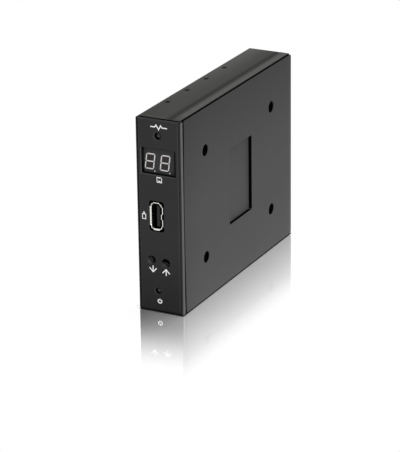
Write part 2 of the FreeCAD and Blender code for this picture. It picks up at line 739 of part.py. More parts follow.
def lid():
    """The lid: a plate between the side walls, a thin lip over their rims, wells and a label pocket."""
    lip_inner = LID_FACE_X - LID_LIP
    low = LID_SIDE_SETBACK
    high = DRIVE_WIDTH - LID_SIDE_SETBACK
    rear = REAR_Y - LID_REAR_SETBACK
    cover = lid_layer(lip_inner, LID_FACE_X, low, high, rear).common(rear_limit(low, high, rear))
    side_edges = [
        e for e in cover.Edges
        if abs(e.BoundBox.XMin - LID_FACE_X) < 1e-4 and e.BoundBox.XLength < 1e-4
    ]
    cover = cover.makeFillet(LID_EDGE_ROUND, side_edges)
    inset = TRAY_WALL + LID_FIT
    core = lid_layer(
        LID_INNER_X, lip_inner + LID_LIP / 4, inset, DRIVE_WIDTH - inset, REAR_WALL_Y - LID_FIT
    )
    up = Vector(1, 0, 0)
    radius = WELL_DIAMETER / 2
    mouth = radius + WELL_ROUND
    wells = []
    cuts = []
    for y, z in SCREW_PLACES:
        wells.append(rod(POST_TOP_X, y, z, radius + WELL_WALL, LID_INNER_X - POST_TOP_X + LID_LIP, up))
        cuts.append(rod(WELL_FLOOR_X, y, z, radius, WELL_DEPTH + THROUGH, up))
        cuts.append(cone(LID_FACE_X - WELL_ROUND, y, z, radius, mouth, WELL_ROUND, up))
        cuts.append(rod(POST_TOP_X - THROUGH, y, z, SCREW_PASS_DIAMETER / 2, WELL_FLOOR + 2 * THROUGH, up))
    cuts.append(
        plate_yz(
            LID_FACE_X - LABEL_DEPTH, LABEL_DEPTH + THROUGH,
            FRONT_Y + LABEL_FIRST_Y, FRONT_Y + LABEL_FIRST_Y + LABEL_LENGTH,
            MIDDLE_Z - LABEL_WIDTH / 2, MIDDLE_Z + LABEL_WIDTH / 2, LABEL_CORNER_RADIUS,
        )
    )
    body = fuse([cover, core, *wells])
    for cutter in cuts:
        body = body.cut(cutter)
    return body


def pan_screw(x, y, z, length):
    """A pan head screw that points down into the tray, with a cross recess in its head."""
    down = Vector(-1, 0, 0)
    up = Vector(1, 0, 0)
    radius = SCREW_HEAD_DIAMETER / 2
    head = rod(x, y, z, radius, SCREW_HEAD_HEIGHT, up)
    crown = [e for e in head.Edges if e.BoundBox.XMin > x + SCREW_HEAD_HEIGHT - 1e-4]
    head = head.makeFillet(SCREW_HEAD_HEIGHT * 0.6, crown)
    middle = x + SCREW_HEAD_HEIGHT / 2
    shank = rod(middle, y, z, SCREW_SHANK_DIAMETER / 2, length + SCREW_HEAD_HEIGHT / 2, down)
    screw = fuse([head, shank])
    top = x + SCREW_HEAD_HEIGHT
    for long_y, long_z in ((CROSS_LENGTH, CROSS_WIDTH), (CROSS_WIDTH, CROSS_LENGTH)):
        slot = block(
            top - CROSS_DEPTH, top + THROUGH, y - long_y / 2, y + long_y / 2, z - long_z / 2, z + long_z / 2
        )
        screw = screw.cut(slot)
    return screw


def cover_screws():
    return Part.makeCompound([pan_screw(WELL_FLOOR_X, y, z, SCREW_SHANK_LENGTH) for y, z in SCREW_PLACES])


def board_screws():
    return Part.makeCompound(
        [pan_screw(BOARD_TOP_X, y, z, BOARD_SCREW_LENGTH) for y, z in BOARD_SCREW_PLACES]
    )


def main_board(pin_places):
    """The main board, with a tab in front for the USB socket and a square hole for every pin."""
    rear = REAR_WALL_Y - MAIN_BOARD_REAR_GAP
    low = MAIN_BOARD_MARGIN
    high = DRIVE_WIDTH - MAIN_BOARD_MARGIN
    tab = MAIN_BOARD_TAB_WIDTH / 2
    front = FRONT_BOARD_BACK + DISPLAY_PIN_PROUD + MAIN_BOARD_FRONT_GAP
    tab_front = FRONT_Y + MAIN_BOARD_TAB_Y
    corners = [
        (Vector(BOARD_X, front, low), BOARD_CORNER_RADIUS),
        (Vector(BOARD_X, rear, low), BOARD_CORNER_RADIUS),
        (Vector(BOARD_X, rear, high), BOARD_CORNER_RADIUS),
        (Vector(BOARD_X, front, high), BOARD_CORNER_RADIUS),
        (Vector(BOARD_X, front, SHELL_Z + tab), BOARD_CORNER_RADIUS),
        (Vector(BOARD_X, tab_front, SHELL_Z + tab), BOARD_CORNER_RADIUS),
        (Vector(BOARD_X, tab_front, SHELL_Z - tab), BOARD_CORNER_RADIUS),
        (Vector(BOARD_X, front, SHELL_Z - tab), BOARD_CORNER_RADIUS),
    ]
    board = prism(corners, Vector(BOARD_THICKNESS, 0, 0))
    up = Vector(1, 0, 0)
    start = BOARD_X - THROUGH
    length = BOARD_THICKNESS + 2 * THROUGH
    for y, z in SCREW_PLACES:
        board = board.cut(rod(start, y, z, POST_DIAMETER / 2 + BOARD_HOLE_FIT, length, up))
    for y, z in BOARD_SCREW_PLACES:
        board = board.cut(rod(start, y, z, SCREW_PASS_DIAMETER / 2, length, up))
    slots = [
        block(start, start + length, y - size_y / 2, y + size_y / 2, z - size_z / 2, z + size_z / 2)
        for y, z, size_y, size_z in shell_leg_places() + pin_places
    ]
    return board.cut(Part.makeCompound(slots))


def front_board():
    """The upright board behind the front plate, notched to let the USB socket through."""
    low = TRAY_WALL + FRONT_BOARD_END_GAP
    high = DRIVE_WIDTH - low
    right = LID_INNER_X - FRONT_BOARD_LID_GAP
    notch = MAIN_BOARD_TAB_WIDTH / 2 + FRONT_BOARD_NOTCH_FIT
    y = FRONT_BOARD_FRONT
    corners = [
        (Vector(FLOOR_X, y, low), INNER_CORNER_RADIUS),
        (Vector(right, y, low), BOARD_CORNER_RADIUS),
        (Vector(right, y, high), BOARD_CORNER_RADIUS),
        (Vector(FLOOR_X, y, high), INNER_CORNER_RADIUS),
        (Vector(FLOOR_X, y, SHELL_Z + notch), BOARD_CORNER_RADIUS),
        (Vector(FRONT_BOARD_NOTCH_TO_X, y, SHELL_Z + notch), BOARD_CORNER_RADIUS),
        (Vector(FRONT_BOARD_NOTCH_TO_X, y, SHELL_Z - notch), BOARD_CORNER_RADIUS),
        (Vector(FLOOR_X, y, SHELL_Z - notch), BOARD_CORNER_RADIUS),
    ]
    return prism(corners, Vector(0, BOARD_THICKNESS, 0))


def segment_bar(u, v, length, upright):
    """One pointed bar of a digit, centred at (u, v) in the digit's own plane."""
    half = length / 2 - SEGMENT_GAP
    side = SEGMENT_WIDTH / 2 - SEGMENT_GAP / 2
    upper = [(-half, 0), (-half + side, side), (half - side, side)]
    points = upper + [(-a, -b) for a, b in upper]
    if upright:
        points = [(b, a) for a, b in points]
    return [(u + a, v + b) for a, b in points]


def digit_outlines():
    """The seven bars of a digit centred at the origin, before slanting."""
    right = (DIGIT_WIDTH - SEGMENT_WIDTH) / 2
    top = (DIGIT_HEIGHT - SEGMENT_WIDTH) / 2
    bars = [segment_bar(0, v, 2 * right, False) for v in (-top, 0, top)]
    bars += [segment_bar(u, v, top, True) for u in (-right, right) for v in (-top / 2, top / 2)]
    return bars


def display_segments():
    """Two slanted digits and their points, as shallow bars let into the display's face."""
    slant = math.tan(math.radians(DIGIT_SLANT_DEG))
    face = FRONT_Y + DISPLAY_FACE_Y
    solids = []
    middle_z = DISPLAY_Z - DIGITS_BELOW
    back = Vector(0, 1, 0)
    for side in (-1, 1):
        x = DISPLAY_X - DIGITS_ASIDE + side * DIGIT_PITCH / 2
        for bar in digit_outlines():
            points = [Vector(x + u + v * slant, face, middle_z + v) for u, v in bar]
            solids.append(Part.Face(Part.makePolygon(points + points[:1])).extrude(back * SEGMENT_DEPTH))
        solids.append(
            rod(x + POINT_ASIDE, face, middle_z - POINT_BELOW, POINT_DIAMETER / 2, SEGMENT_DEPTH, back)
        )
    return solids


def display_body(segments):
    """The display's case, with a pocket for each bar and its pins' feet on the front board."""
    body = block(
        DISPLAY_X - DISPLAY_WIDTH / 2, DISPLAY_X + DISPLAY_WIDTH / 2,
        FRONT_Y + DISPLAY_FACE_Y, FRONT_BOARD_FRONT,
        DISPLAY_Z - DISPLAY_HEIGHT / 2, DISPLAY_Z + DISPLAY_HEIGHT / 2,
    )
    face_edges = [e for e in body.Edges if e.BoundBox.YMax < FRONT_Y + DISPLAY_FACE_Y + 1e-4]
    body = body.makeChamfer(DISPLAY_EDGE, face_edges)
    return body.cut(Part.makeCompound(segments))


def display_pins():
    pins = []
    half = PIN_WIDTH / 2
    for row in (-1, 1):
        z = DISPLAY_Z + row * DISPLAY_PIN_ROWS_APART / 2
        for i in range(DISPLAY_PIN_COUNT):
            x = DISPLAY_X + (i - (DISPLAY_PIN_COUNT - 1) / 2) * DISPLAY_PIN_PITCH
            end = FRONT_BOARD_BACK + DISPLAY_PIN_PROUD
            pins.append(block(x - half, x + half, FRONT_BOARD_BACK, end, z - half, z + half))
    return Part.makeCompound(pins)


def lamp(x, z):
    """A diode's lens: dome, cylinder and flange."""
    back = Vector(0, 1, 0)
    radius = LAMP_DIAMETER / 2
    tip = FRONT_Y + LAMP_TIP_Y
    dome = Part.makeSphere(radius, Vector(x, tip + radius, z))
    stem = rod(x, tip + radius, z, radius, LAMP_BODY_LENGTH - radius, back)
    flange = rod(
        x, tip + LAMP_BODY_LENGTH - LAMP_FLANGE_HEIGHT, z, LAMP_FLANGE_DIAMETER / 2, LAMP_FLANGE_HEIGHT, back
    )
    return fuse([stem, dome, flange])


def lamp_spacer(x, z):
    """The plastic tube that holds a diode off the front board, bored for its two leads."""
    back = Vector(0, 1, 0)
    start = FRONT_Y + LAMP_TIP_Y + LAMP_BODY_LENGTH
    length = FRONT_BOARD_FRONT - start
    spacer = rod(x, start, z, LAMP_FLANGE_DIAMETER / 2, length, back)
    for side in (-1, 1):
        lead_z = z + side * LAMP_LEAD_PITCH / 2
        bore = rod(x, start - THROUGH, lead_z, LAMP_SPACER_BORE / 2, length + 2 * THROUGH, back)
        spacer = spacer.cut(bore)
    return spacer


def lamp_leads():
    leads = []
    half = LAMP_LEAD_WIDTH / 2
    start = FRONT_Y + LAMP_TIP_Y + LAMP_BODY_LENGTH
    for x, z in LAMP_PLACES:
        for side in (-1, 1):
            lead_z = z + side * LAMP_LEAD_PITCH / 2
            leads.append(block(x - half, x + half, start, FRONT_BOARD_FRONT, lead_z - half, lead_z + half))
    return Part.makeCompound(leads)


def switch_rivets(x, z, start, length):
    """Four round pins at the corners of a switch's face."""
    reach = SWITCH_SIZE / 2 - SWITCH_RIVET_INSET
    radius = SWITCH_RIVET_DIAMETER / 2
    return [
        rod(x + way_x * reach, start, z + way_z * reach, radius, length, Vector(0, 1, 0))
        for way_x in (-1, 1)
        for way_z in (-1, 1)
    ]


def switch_body(x, z):
    """A push switch's case: a square block with a round chamber for the plunger and four rivets."""
    half = SWITCH_SIZE / 2
    front = FRONT_BOARD_FRONT - SWITCH_BODY_HEIGHT
    face = front + SWITCH_COVER_THICKNESS
    case = block(x - half, x + half, face, FRONT_BOARD_FRONT, z - half, z + half)
    depth = PLUNGER_INSERTION + PLUNGER_TRAVEL + PLUNGER_END_FIT
    bore = PLUNGER_DIAMETER / 2 + SWITCH_WALL_BORE
    chamber = rod(x, front - THROUGH, z, bore, depth + THROUGH, Vector(0, 1, 0))
    rivet_length = SWITCH_RIVET_HEIGHT + 2 * SWITCH_COVER_THICKNESS
    return fuse([case, *switch_rivets(x, z, front - SWITCH_RIVET_HEIGHT, rivet_length)]).cut(chamber)


def switch_cover(x, z):
    """The steel sheet on a switch's face, with a hole for the plunger and four for the rivets."""
    half = SWITCH_SIZE / 2
    front = FRONT_BOARD_FRONT - SWITCH_BODY_HEIGHT
    sheet = block(x - half, x + half, front, front + SWITCH_COVER_THICKNESS, z - half, z + half)
    length = SWITCH_COVER_THICKNESS + 2 * THROUGH
    bore = PLUNGER_DIAMETER / 2 + 2 * SWITCH_WALL_BORE
    sheet = sheet.cut(rod(x, front - THROUGH, z, bore, length, Vector(0, 1, 0)))
    for rivet in switch_rivets(x, z, front - THROUGH, length):
        sheet = sheet.cut(rivet)
    return sheet


def switch_legs():
    """The eight flat legs of the two switches, bent out beside the cases onto the front board."""
    legs = []
    half = SWITCH_SIZE / 2
    for x, z in BUTTON_PLACES:
        for side_x in (-1, 1):
            for side_z in (-1, 1):
                leg_x = x + side_x * (half - SWITCH_LEG_WIDTH)
                inner = z + side_z * half
                outer = inner + side_z * SWITCH_LEG_THICKNESS
                legs.append(
                    block(
                        leg_x - SWITCH_LEG_WIDTH / 2, leg_x + SWITCH_LEG_WIDTH / 2,
                        FRONT_BOARD_FRONT - SWITCH_BODY_HEIGHT / 2, FRONT_BOARD_FRONT,
                        min(inner, outer), max(inner, outer),
                    )
                )
    return Part.makeCompound(legs)


def plunger(x, z):
    """A button: the switch's own round plunger, deep in the hole of the front plate."""
    tip = FRONT_Y + PLUNGER_TIP_Y
    end = FRONT_BOARD_FRONT - SWITCH_BODY_HEIGHT + PLUNGER_INSERTION
    pin = rod(x, tip, z, PLUNGER_DIAMETER / 2, end - tip, Vector(0, 1, 0))
    tip_edges = [e for e in pin.Edges if e.BoundBox.YMax < tip + 1e-4]
    return pin.makeFillet(PLUNGER_TIP_ROUND, tip_edges)


def shell_tube(half_x, half_z, y, length, radius):
    """A round-cornered bar on the socket's middle line."""
    return plate_xz(SHELL_X - half_x, SHELL_X + half_x, SHELL_Z - half_z, SHELL_Z + half_z, y, length, radius)


def shell_leg_places():
    """Middle and size, in the board's plane, of the slots for the legs of the socket's shell."""
    places = []
    y = FRONT_Y + SHELL_MOUTH_Y + SHELL_LENGTH * 0.6
    for side in (-1, 1):
        z = SHELL_Z + side * (SHELL_HEIGHT / 2 - SHELL_SHEET / 2)
        places.append((y, z, SHELL_LEG_WIDTH + 2 * BOARD_HOLE_FIT, SHELL_SHEET + 2 * BOARD_HOLE_FIT))
    return places


def shell_lips():
    """The flared lips of the socket's mouth, and the stretches of straight wall that they replace."""
    mouth = FRONT_Y + SHELL_MOUTH_Y
    root = mouth + LIP_LENGTH
    wanted = [
        (-1, 0, 0, LONG_LIP_WIDTH),
        (1, 0, -HALF_LIPS_APART / 2, HALF_LIP_WIDTH),
        (1, 0, HALF_LIPS_APART / 2, HALF_LIP_WIDTH),
        (0, -1, 0, END_LIP_WIDTH),
        (0, 1, 0, END_LIP_WIDTH),
    ]
    lips = []
    gaps = []
    for way_x, way_z, shift, width in wanted:
        out = Vector(way_x, 0, way_z)
        along = Vector(abs(way_z), 0, abs(way_x))
        half = SHELL_WIDTH / 2 if way_x else SHELL_HEIGHT / 2
        base = Vector(SHELL_X, 0, SHELL_Z) + along * (shift - width / 2)
        section = [
            base + out * half + Vector(0, root, 0),
            base + out * (half + LIP_REACH) + Vector(0, mouth, 0),
            base + out * (half + LIP_REACH - SHELL_SHEET) + Vector(0, mouth, 0),
            base + out * (half - SHELL_SHEET) + Vector(0, root, 0),
            base + out * (half - SHELL_SHEET) + Vector(0, root + SHELL_SHEET, 0),
            base + out * half + Vector(0, root + SHELL_SHEET, 0),
        ]
        lips.append(Part.Face(Part.makePolygon(section + section[:1])).extrude(along * width))
        wall = [
            base + out * (half + SHELL_SHEET / 2) + Vector(0, mouth - THROUGH, 0),
            base + out * (half - 1.5 * SHELL_SHEET) + Vector(0, mouth - THROUGH, 0),
            base + out * (half - 1.5 * SHELL_SHEET) + Vector(0, root, 0),
            base + out * (half + SHELL_SHEET / 2) + Vector(0, root, 0),
        ]
        gaps.append(Part.Face(Part.makePolygon(wall + wall[:1])).extrude(along * width))
    return lips, gaps


def usb_shell():
    """The socket's sheet-metal shell: flared lips, four sprung fingers, a closed back and two legs."""
    mouth = FRONT_Y + SHELL_MOUTH_Y
    lips, gaps = shell_lips()
    tube = shell_tube(SHELL_WIDTH / 2, SHELL_HEIGHT / 2, mouth, SHELL_LENGTH, SHELL_RADIUS)
    hollow = shell_tube(
        SHELL_WIDTH / 2 - SHELL_SHEET, SHELL_HEIGHT / 2 - SHELL_SHEET,
        mouth - THROUGH, SHELL_LENGTH + THROUGH - SHELL_SHEET, SHELL_RADIUS - SHELL_SHEET,
    )
    shell = tube.cut(hollow).cut(Part.makeCompound(gaps))
    fingers = []
    for side_x in (-1, 1):
        outer = SHELL_X + side_x * SHELL_WIDTH / 2
        inner = outer - side_x * SHELL_SHEET
        for side_z in (-1, 1):
            z = SHELL_Z + side_z * FINGER_SPACING / 2
            y0 = mouth + FINGER_FIRST_Y
            window = block(
                min(inner, outer) - SHELL_SHEET / 2, max(inner, outer) + SHELL_SHEET / 2,
                y0 - FINGER_CUT_GAP, y0 + FINGER_LENGTH,
                z - FINGER_WIDTH / 2 - FINGER_CUT_GAP, z + FINGER_WIDTH / 2 + FINGER_CUT_GAP,
            )
            shell = shell.cut(window)
            bend = -side_x * FINGER_BEND
            low = z - FINGER_WIDTH / 2
            points = [
                Vector(outer, y0 + FINGER_LENGTH, low),
                Vector(inner, y0 + FINGER_LENGTH, low),
                Vector(inner + bend, y0 + FINGER_LENGTH / 5, low),
                Vector(inner, y0, low),
                Vector(outer, y0, low),
                Vector(outer + bend, y0 + FINGER_LENGTH / 5, low),
            ]
            finger = Part.Face(Part.makePolygon(points + points[:1])).extrude(Vector(0, 0, FINGER_WIDTH))
            root = block(
                min(inner, outer), max(inner, outer), y0 + FINGER_LENGTH - SHELL_SHEET / 2,
                y0 + FINGER_LENGTH + SHELL_SHEET, low, low + FINGER_WIDTH,
            )
            fingers += [finger, root]
    legs = []
    for y, z, _, _ in shell_leg_places():
        legs.append(
            block(
                BOARD_TOP_X - SHELL_LEG_DROP, BOARD_TOP_X + SHELL_RADIUS + SHELL_SHEET,
                y - SHELL_LEG_WIDTH / 2, y + SHELL_LEG_WIDTH / 2,
                z - SHELL_SHEET / 2, z + SHELL_SHEET / 2,
            )
        )
    return fuse([shell, *lips, *fingers, *legs])


def usb_tongue():
    """The socket's plastic: a base at the back of the shell and the tongue on the lid's side."""
    rear = FRONT_Y + SHELL_MOUTH_Y + SHELL_LENGTH - SHELL_SHEET
    base_half_x = SHELL_WIDTH / 2 - SHELL_SHEET
    base_half_z = SHELL_HEIGHT / 2 - SHELL_SHEET
    base = shell_tube(
        base_half_x, base_half_z, rear - TONGUE_BASE_LENGTH, TONGUE_BASE_LENGTH, SHELL_RADIUS - SHELL_SHEET
    )
    high = SHELL_X + base_half_x - TONGUE_FROM_SHELL
    tongue = block(
        high - TONGUE_THICKNESS, high, FRONT_Y + TONGUE_FIRST_Y, rear - TONGUE_BASE_LENGTH / 2,
        SHELL_Z - TONGUE_WIDTH / 2, SHELL_Z + TONGUE_WIDTH / 2,
    )
    tip_edges = [e for e in tongue.Edges if e.BoundBox.YMax < FRONT_Y + TONGUE_FIRST_Y + 1e-4]
    return fuse([base, tongue.makeChamfer(TONGUE_EDGE, tip_edges)])


def usb_contacts():
    contacts = []
    low = SHELL_X + SHELL_WIDTH / 2 - SHELL_SHEET - TONGUE_FROM_SHELL - TONGUE_THICKNESS
    rear = FRONT_Y + SHELL_MOUTH_Y + SHELL_LENGTH - SHELL_SHEET - TONGUE_BASE_LENGTH
    for i in range(CONTACT_COUNT):
        z = SHELL_Z + (i - (CONTACT_COUNT - 1) / 2) * CONTACT_SPACING
        contacts.append(
            block(
                low - CONTACT_PROUD, low, FRONT_Y + TONGUE_FIRST_Y + CONTACT_WIDTH, rear,
                z - CONTACT_WIDTH / 2, z + CONTACT_WIDTH / 2,
            )
        )
    return Part.makeCompound(contacts)


def boxed_header(z, length, height, depth, wall, floor, key_width):
    """A connector housing on the main board, open to the rear, with a key slot on the lid's side."""
    rear = REAR_Y - HEADER_REAR_GAP
    front = rear - depth
    body = block(BOARD_TOP_X, BOARD_TOP_X + height, front, rear, z - length / 2, z + length / 2)
    cavity = block(
        BOARD_TOP_X + wall, BOARD_TOP_X + height - wall, front + floor, rear + THROUGH,
        z - length / 2 + wall, z + length / 2 - wall,
    )
    top = BOARD_TOP_X + height
    key = block(
        top - wall - THROUGH / 2, top + THROUGH, front + floor, rear + THROUGH,
        z - key_width / 2, z + key_width / 2,
    )
    return body.cut(cavity).cut(key)


def bent_pin(middle_x, z, tip_y, back_y, width):
    """A square pin that runs forward from its tip through the housing and turns down to the board."""
    half = width / 2
    run = block(middle_x - half, middle_x + half, back_y - half, tip_y, z - half, z + half)
    tail = BOARD_TOP_X - PIN_TAIL_DROP
    drop = block(tail, middle_x + half, back_y - half, back_y + half, z - half, z + half)
    return fuse([run, drop])


def pin_grid(z, columns, rows, pitch, middle_x, tip_y, first_back_y, width):
    """Pins in columns along the width and rows through the thin way, each row's tail further forward."""
    pins = []
    for row in range(rows):
        x = middle_x + (row - (rows - 1) / 2) * pitch
        back_y = first_back_y - row * PIN_TAIL_STEP
        for column in range(columns):
            pin_z = z + (column - (columns - 1) / 2) * pitch
            pins.append(bent_pin(x, pin_z, tip_y, back_y, width))
    return pins


def pin_holes(pins):
    """Middle and size, in the board's plane, of the hole under each bent pin's tail."""
    places = []
    for pin in pins:
        box = pin.BoundBox
        y = box.YMin + HEADER_PIN / 2
        size = HEADER_PIN + 2 * PIN_HOLE_FIT
        places.append((y, box.Center.z, size, size))
    return places


def drilled(solid, pins):
    """The solid with a close hole for every pin that passes through it."""
    return solid.cut(Part.makeCompound(pins))


def floppy_header():
    shroud = boxed_header(
        HEADER_Z, HEADER_LENGTH, HEADER_HEIGHT, HEADER_DEPTH, HEADER_WALL, HEADER_FLOOR, HEADER_KEY_WIDTH
    )
    rear = REAR_Y - HEADER_REAR_GAP
    pins = pin_grid(
        HEADER_Z, FLOPPY_PIN_COLUMNS, FLOPPY_PIN_ROWS, HEADER_PITCH, BOARD_TOP_X + HEADER_HEIGHT / 2,
        rear - HEADER_PIN_SHY, rear - HEADER_DEPTH - HEADER_PIN, HEADER_PIN,
    )
    return drilled(shroud, pins), pins


def jumper_middle_x():
    return BOARD_TOP_X + HEADER_PITCH


def jumper_block():
    """The strip that holds the drive-select pins at the rear edge."""
    rear = REAR_Y - HEADER_REAR_GAP - JUMPER_PIN_LENGTH
    body = block(
        BOARD_TOP_X, BOARD_TOP_X + 2 * HEADER_PITCH, rear - JUMPER_BLOCK_DEPTH, rear,
        JUMPER_Z - JUMPER_LENGTH / 2, JUMPER_Z + JUMPER_LENGTH / 2,
    )
    pins = pin_grid(
        JUMPER_Z, JUMPER_COLUMNS, JUMPER_ROWS, HEADER_PITCH, jumper_middle_x(),
        rear + JUMPER_PIN_LENGTH, rear - JUMPER_BLOCK_DEPTH - HEADER_PIN, HEADER_PIN,
    )
    return drilled(body, pins), pins


def jumper_shunt():
    """The small cap that bridges the two pins of one column and pulls off to the rear."""
    rear = REAR_Y - HEADER_REAR_GAP - JUMPER_PIN_LENGTH
    start = rear + LID_FIT
    z = JUMPER_Z + ((JUMPER_COLUMNS - 1) / 2 - SHUNT_FROM_LAST) * HEADER_PITCH
    half_x = SHUNT_HEIGHT / 2
    half_z = SHUNT_WIDTH / 2
    middle = jumper_middle_x()
    body = block(middle - half_x, middle + half_x, start, start + SHUNT_LENGTH, z - half_z, z + half_z)
    for side in (-1, 1):
        x = middle + side * HEADER_PITCH / 2
        hole = HEADER_PIN / 2 + LID_FIT / 2
        body = body.cut(
            block(x - hole, x + hole, start - THROUGH, start + SHUNT_LENGTH + THROUGH, z - hole, z + hole)
        )
    return body


def power_socket():
    """The four-pin power connector, with a shroud open to the rear and towards the lid."""
    rear = REAR_Y - HEADER_REAR_GAP
    front = rear - POWER_DEPTH
    half = POWER_LENGTH / 2
    body = block(BOARD_TOP_X, BOARD_TOP_X + POWER_HEIGHT, front, rear, POWER_Z - half, POWER_Z + half)
    cavity = block(
        BOARD_TOP_X + POWER_WALL, BOARD_TOP_X + POWER_HEIGHT + THROUGH, front + POWER_FLOOR, rear + THROUGH,
        POWER_Z - half + POWER_WALL, POWER_Z + half - POWER_WALL,
    )
    pins = pin_grid(
        POWER_Z, POWER_PIN_COUNT, 1, POWER_PIN_PITCH, BOARD_TOP_X + POWER_HEIGHT / 2,
        rear - HEADER_PIN_SHY, front - HEADER_PIN, HEADER_PIN,
    )
    return drilled(body.cut(cavity), pins), pins


def flat_chip(y, z, size_y, size_z, height):
    """A chip's moulded case, a little above the board."""
    base = BOARD_TOP_X + CHIP_STANDOFF
    body = block(base, base + height, y - size_y / 2, y + size_y / 2, z - size_z / 2, z + size_z / 2)
    top_edges = [e for e in body.Edges if e.BoundBox.XMin > base + height - 1e-4]
    return body.makeChamfer(CHIP_STANDOFF, top_edges)


def pin_row(y, z, along_y, outward, count, pitch, width):
    """A row of flat leads that leave one side of a chip and lie on the board."""
    leads = []
    for i in range(count):
        offset = (i - (count - 1) / 2) * pitch
        if along_y:
            y0, y1 = y + offset - width / 2, y + offset + width / 2
            z0, z1 = sorted((z, z + outward * CHIP_PIN_REACH))
        else:
            y0, y1 = sorted((y, y + outward * CHIP_PIN_REACH))
            z0, z1 = z + offset - width / 2, z + offset + width / 2
        leads.append(block(BOARD_TOP_X, BOARD_TOP_X + CHIP_PIN_THICKNESS * 2, y0, y1, z0, z1))
    return leads


def controller_pins():
    y = FRONT_Y + CHIP_Y
    half = CHIP_SIZE / 2
    leads = []
    row = (CHIP_PINS_PER_SIDE, CHIP_PIN_PITCH, CHIP_PIN_WIDTH)
    for outward in (-1, 1):
        leads += pin_row(y, CHIP_Z + outward * half, True, outward, *row)
        leads += pin_row(y + outward * half, CHIP_Z, False, outward, *row)
    return Part.makeCompound(leads)


def buffer_places():
    return [(REAR_Y - BUFFER_FROM_REAR, BUFFER_FIRST_Z + i * BUFFER_SPACING) for i in range(BUFFER_COUNT)]


def buffers():
    return Part.makeCompound(
        [flat_chip(y, z, BUFFER_WIDTH, BUFFER_LENGTH, BUFFER_HEIGHT) for y, z in buffer_places()]
    )


def buffer_pins():
    leads = []
    for y, z in buffer_places():
        for outward in (-1, 1):
            leads += pin_row(
                y + outward * BUFFER_WIDTH / 2, z, False, outward, BUFFER_PINS_PER_SIDE, BUFFER_PIN_PITCH,
                BUFFER_PIN_WIDTH,
            )
    return Part.makeCompound(leads)


def crystal():
    """The crystal's steel can, round-ended, standing on the board."""
    y = FRONT_Y + CRYSTAL_Y
    half = CRYSTAL_LENGTH / 2
    return plate_yz(
        BOARD_TOP_X, CRYSTAL_HEIGHT, y - CRYSTAL_WIDTH / 2, y + CRYSTAL_WIDTH / 2,
        CHIP_Z - half, CHIP_Z + half, CRYSTAL_WIDTH / 2 - CHIP_STANDOFF,
    )


def regulator():
    y = REAR_Y - REGULATOR_FROM_REAR
    z = DRIVE_WIDTH - REGULATOR_FROM_TOP
    case = block(
        BOARD_TOP_X, BOARD_TOP_X + REGULATOR_HEIGHT, y - REGULATOR_WIDTH / 2, y + REGULATOR_WIDTH / 2,
        z - REGULATOR_LENGTH / 2, z + REGULATOR_LENGTH / 2,
    )
    tab = block(
        BOARD_TOP_X, BOARD_TOP_X + CHIP_STANDOFF * 2, y - REGULATOR_WIDTH / 2 - REGULATOR_TAB, y,
        z - REGULATOR_LENGTH / 4, z + REGULATOR_LENGTH / 4,
    )
    return fuse([case, tab])


def capacitors():
    """Two surface-mounted electrolytic capacitors: a square base and a round can."""
    solids = []
    y = REAR_Y - CAPACITOR_FROM_REAR
    half = CAPACITOR_DIAMETER / 2
    for i in range(2):
        z = DRIVE_WIDTH - CAPACITOR_FROM_TOP - i * CAPACITOR_SPACING
        base = block(BOARD_TOP_X, BOARD_TOP_X + CAPACITOR_BASE_HEIGHT, y - half, y + half, z - half, z + half)
        can = rod(
            BOARD_TOP_X + CAPACITOR_BASE_HEIGHT / 2, y, z, half - CHIP_STANDOFF,
            CAPACITOR_HEIGHT - CAPACITOR_BASE_HEIGHT / 2, Vector(1, 0, 0),
        )
        solids.append(fuse([base, can]))
    return Part.makeCompound(solids)


def resistors():
    solids = []
    y = REAR_Y - RESISTOR_FROM_REAR
    for i in range(RESISTOR_COUNT):
        z = RESISTOR_FIRST_Z + i * RESISTOR_SPACING
        solids.append(
            block(
                BOARD_TOP_X, BOARD_TOP_X + RESISTOR_HEIGHT, y - RESISTOR_LENGTH / 2, y + RESISTOR_LENGTH / 2,
                z - RESISTOR_WIDTH / 2, z + RESISTOR_WIDTH / 2,
            )
        )
    return Part.makeCompound(solids)


def link_header():
    """The strip and pins that join the front board to the main board."""
    strip = block(
        BOARD_TOP_X, BOARD_TOP_X + LINK_BLOCK, FRONT_BOARD_BACK, FRONT_BOARD_BACK + LINK_BLOCK,
        LINK_Z - LINK_LENGTH / 2, LINK_Z + LINK_LENGTH / 2,
    )
    pins = []
    half = HEADER_PIN / 2
    x = BOARD_TOP_X + LINK_BLOCK / 2
    for i in range(LINK_PIN_COUNT):
        z = LINK_Z + (i - (LINK_PIN_COUNT - 1) / 2) * HEADER_PITCH
        pins.append(
            block(
                x - half, x + half, FRONT_BOARD_BACK + LINK_BLOCK, FRONT_BOARD_BACK + 2 * LINK_BLOCK,
                z - half, z + half,
            )
        )
    return strip, Part.makeCompound(pins)


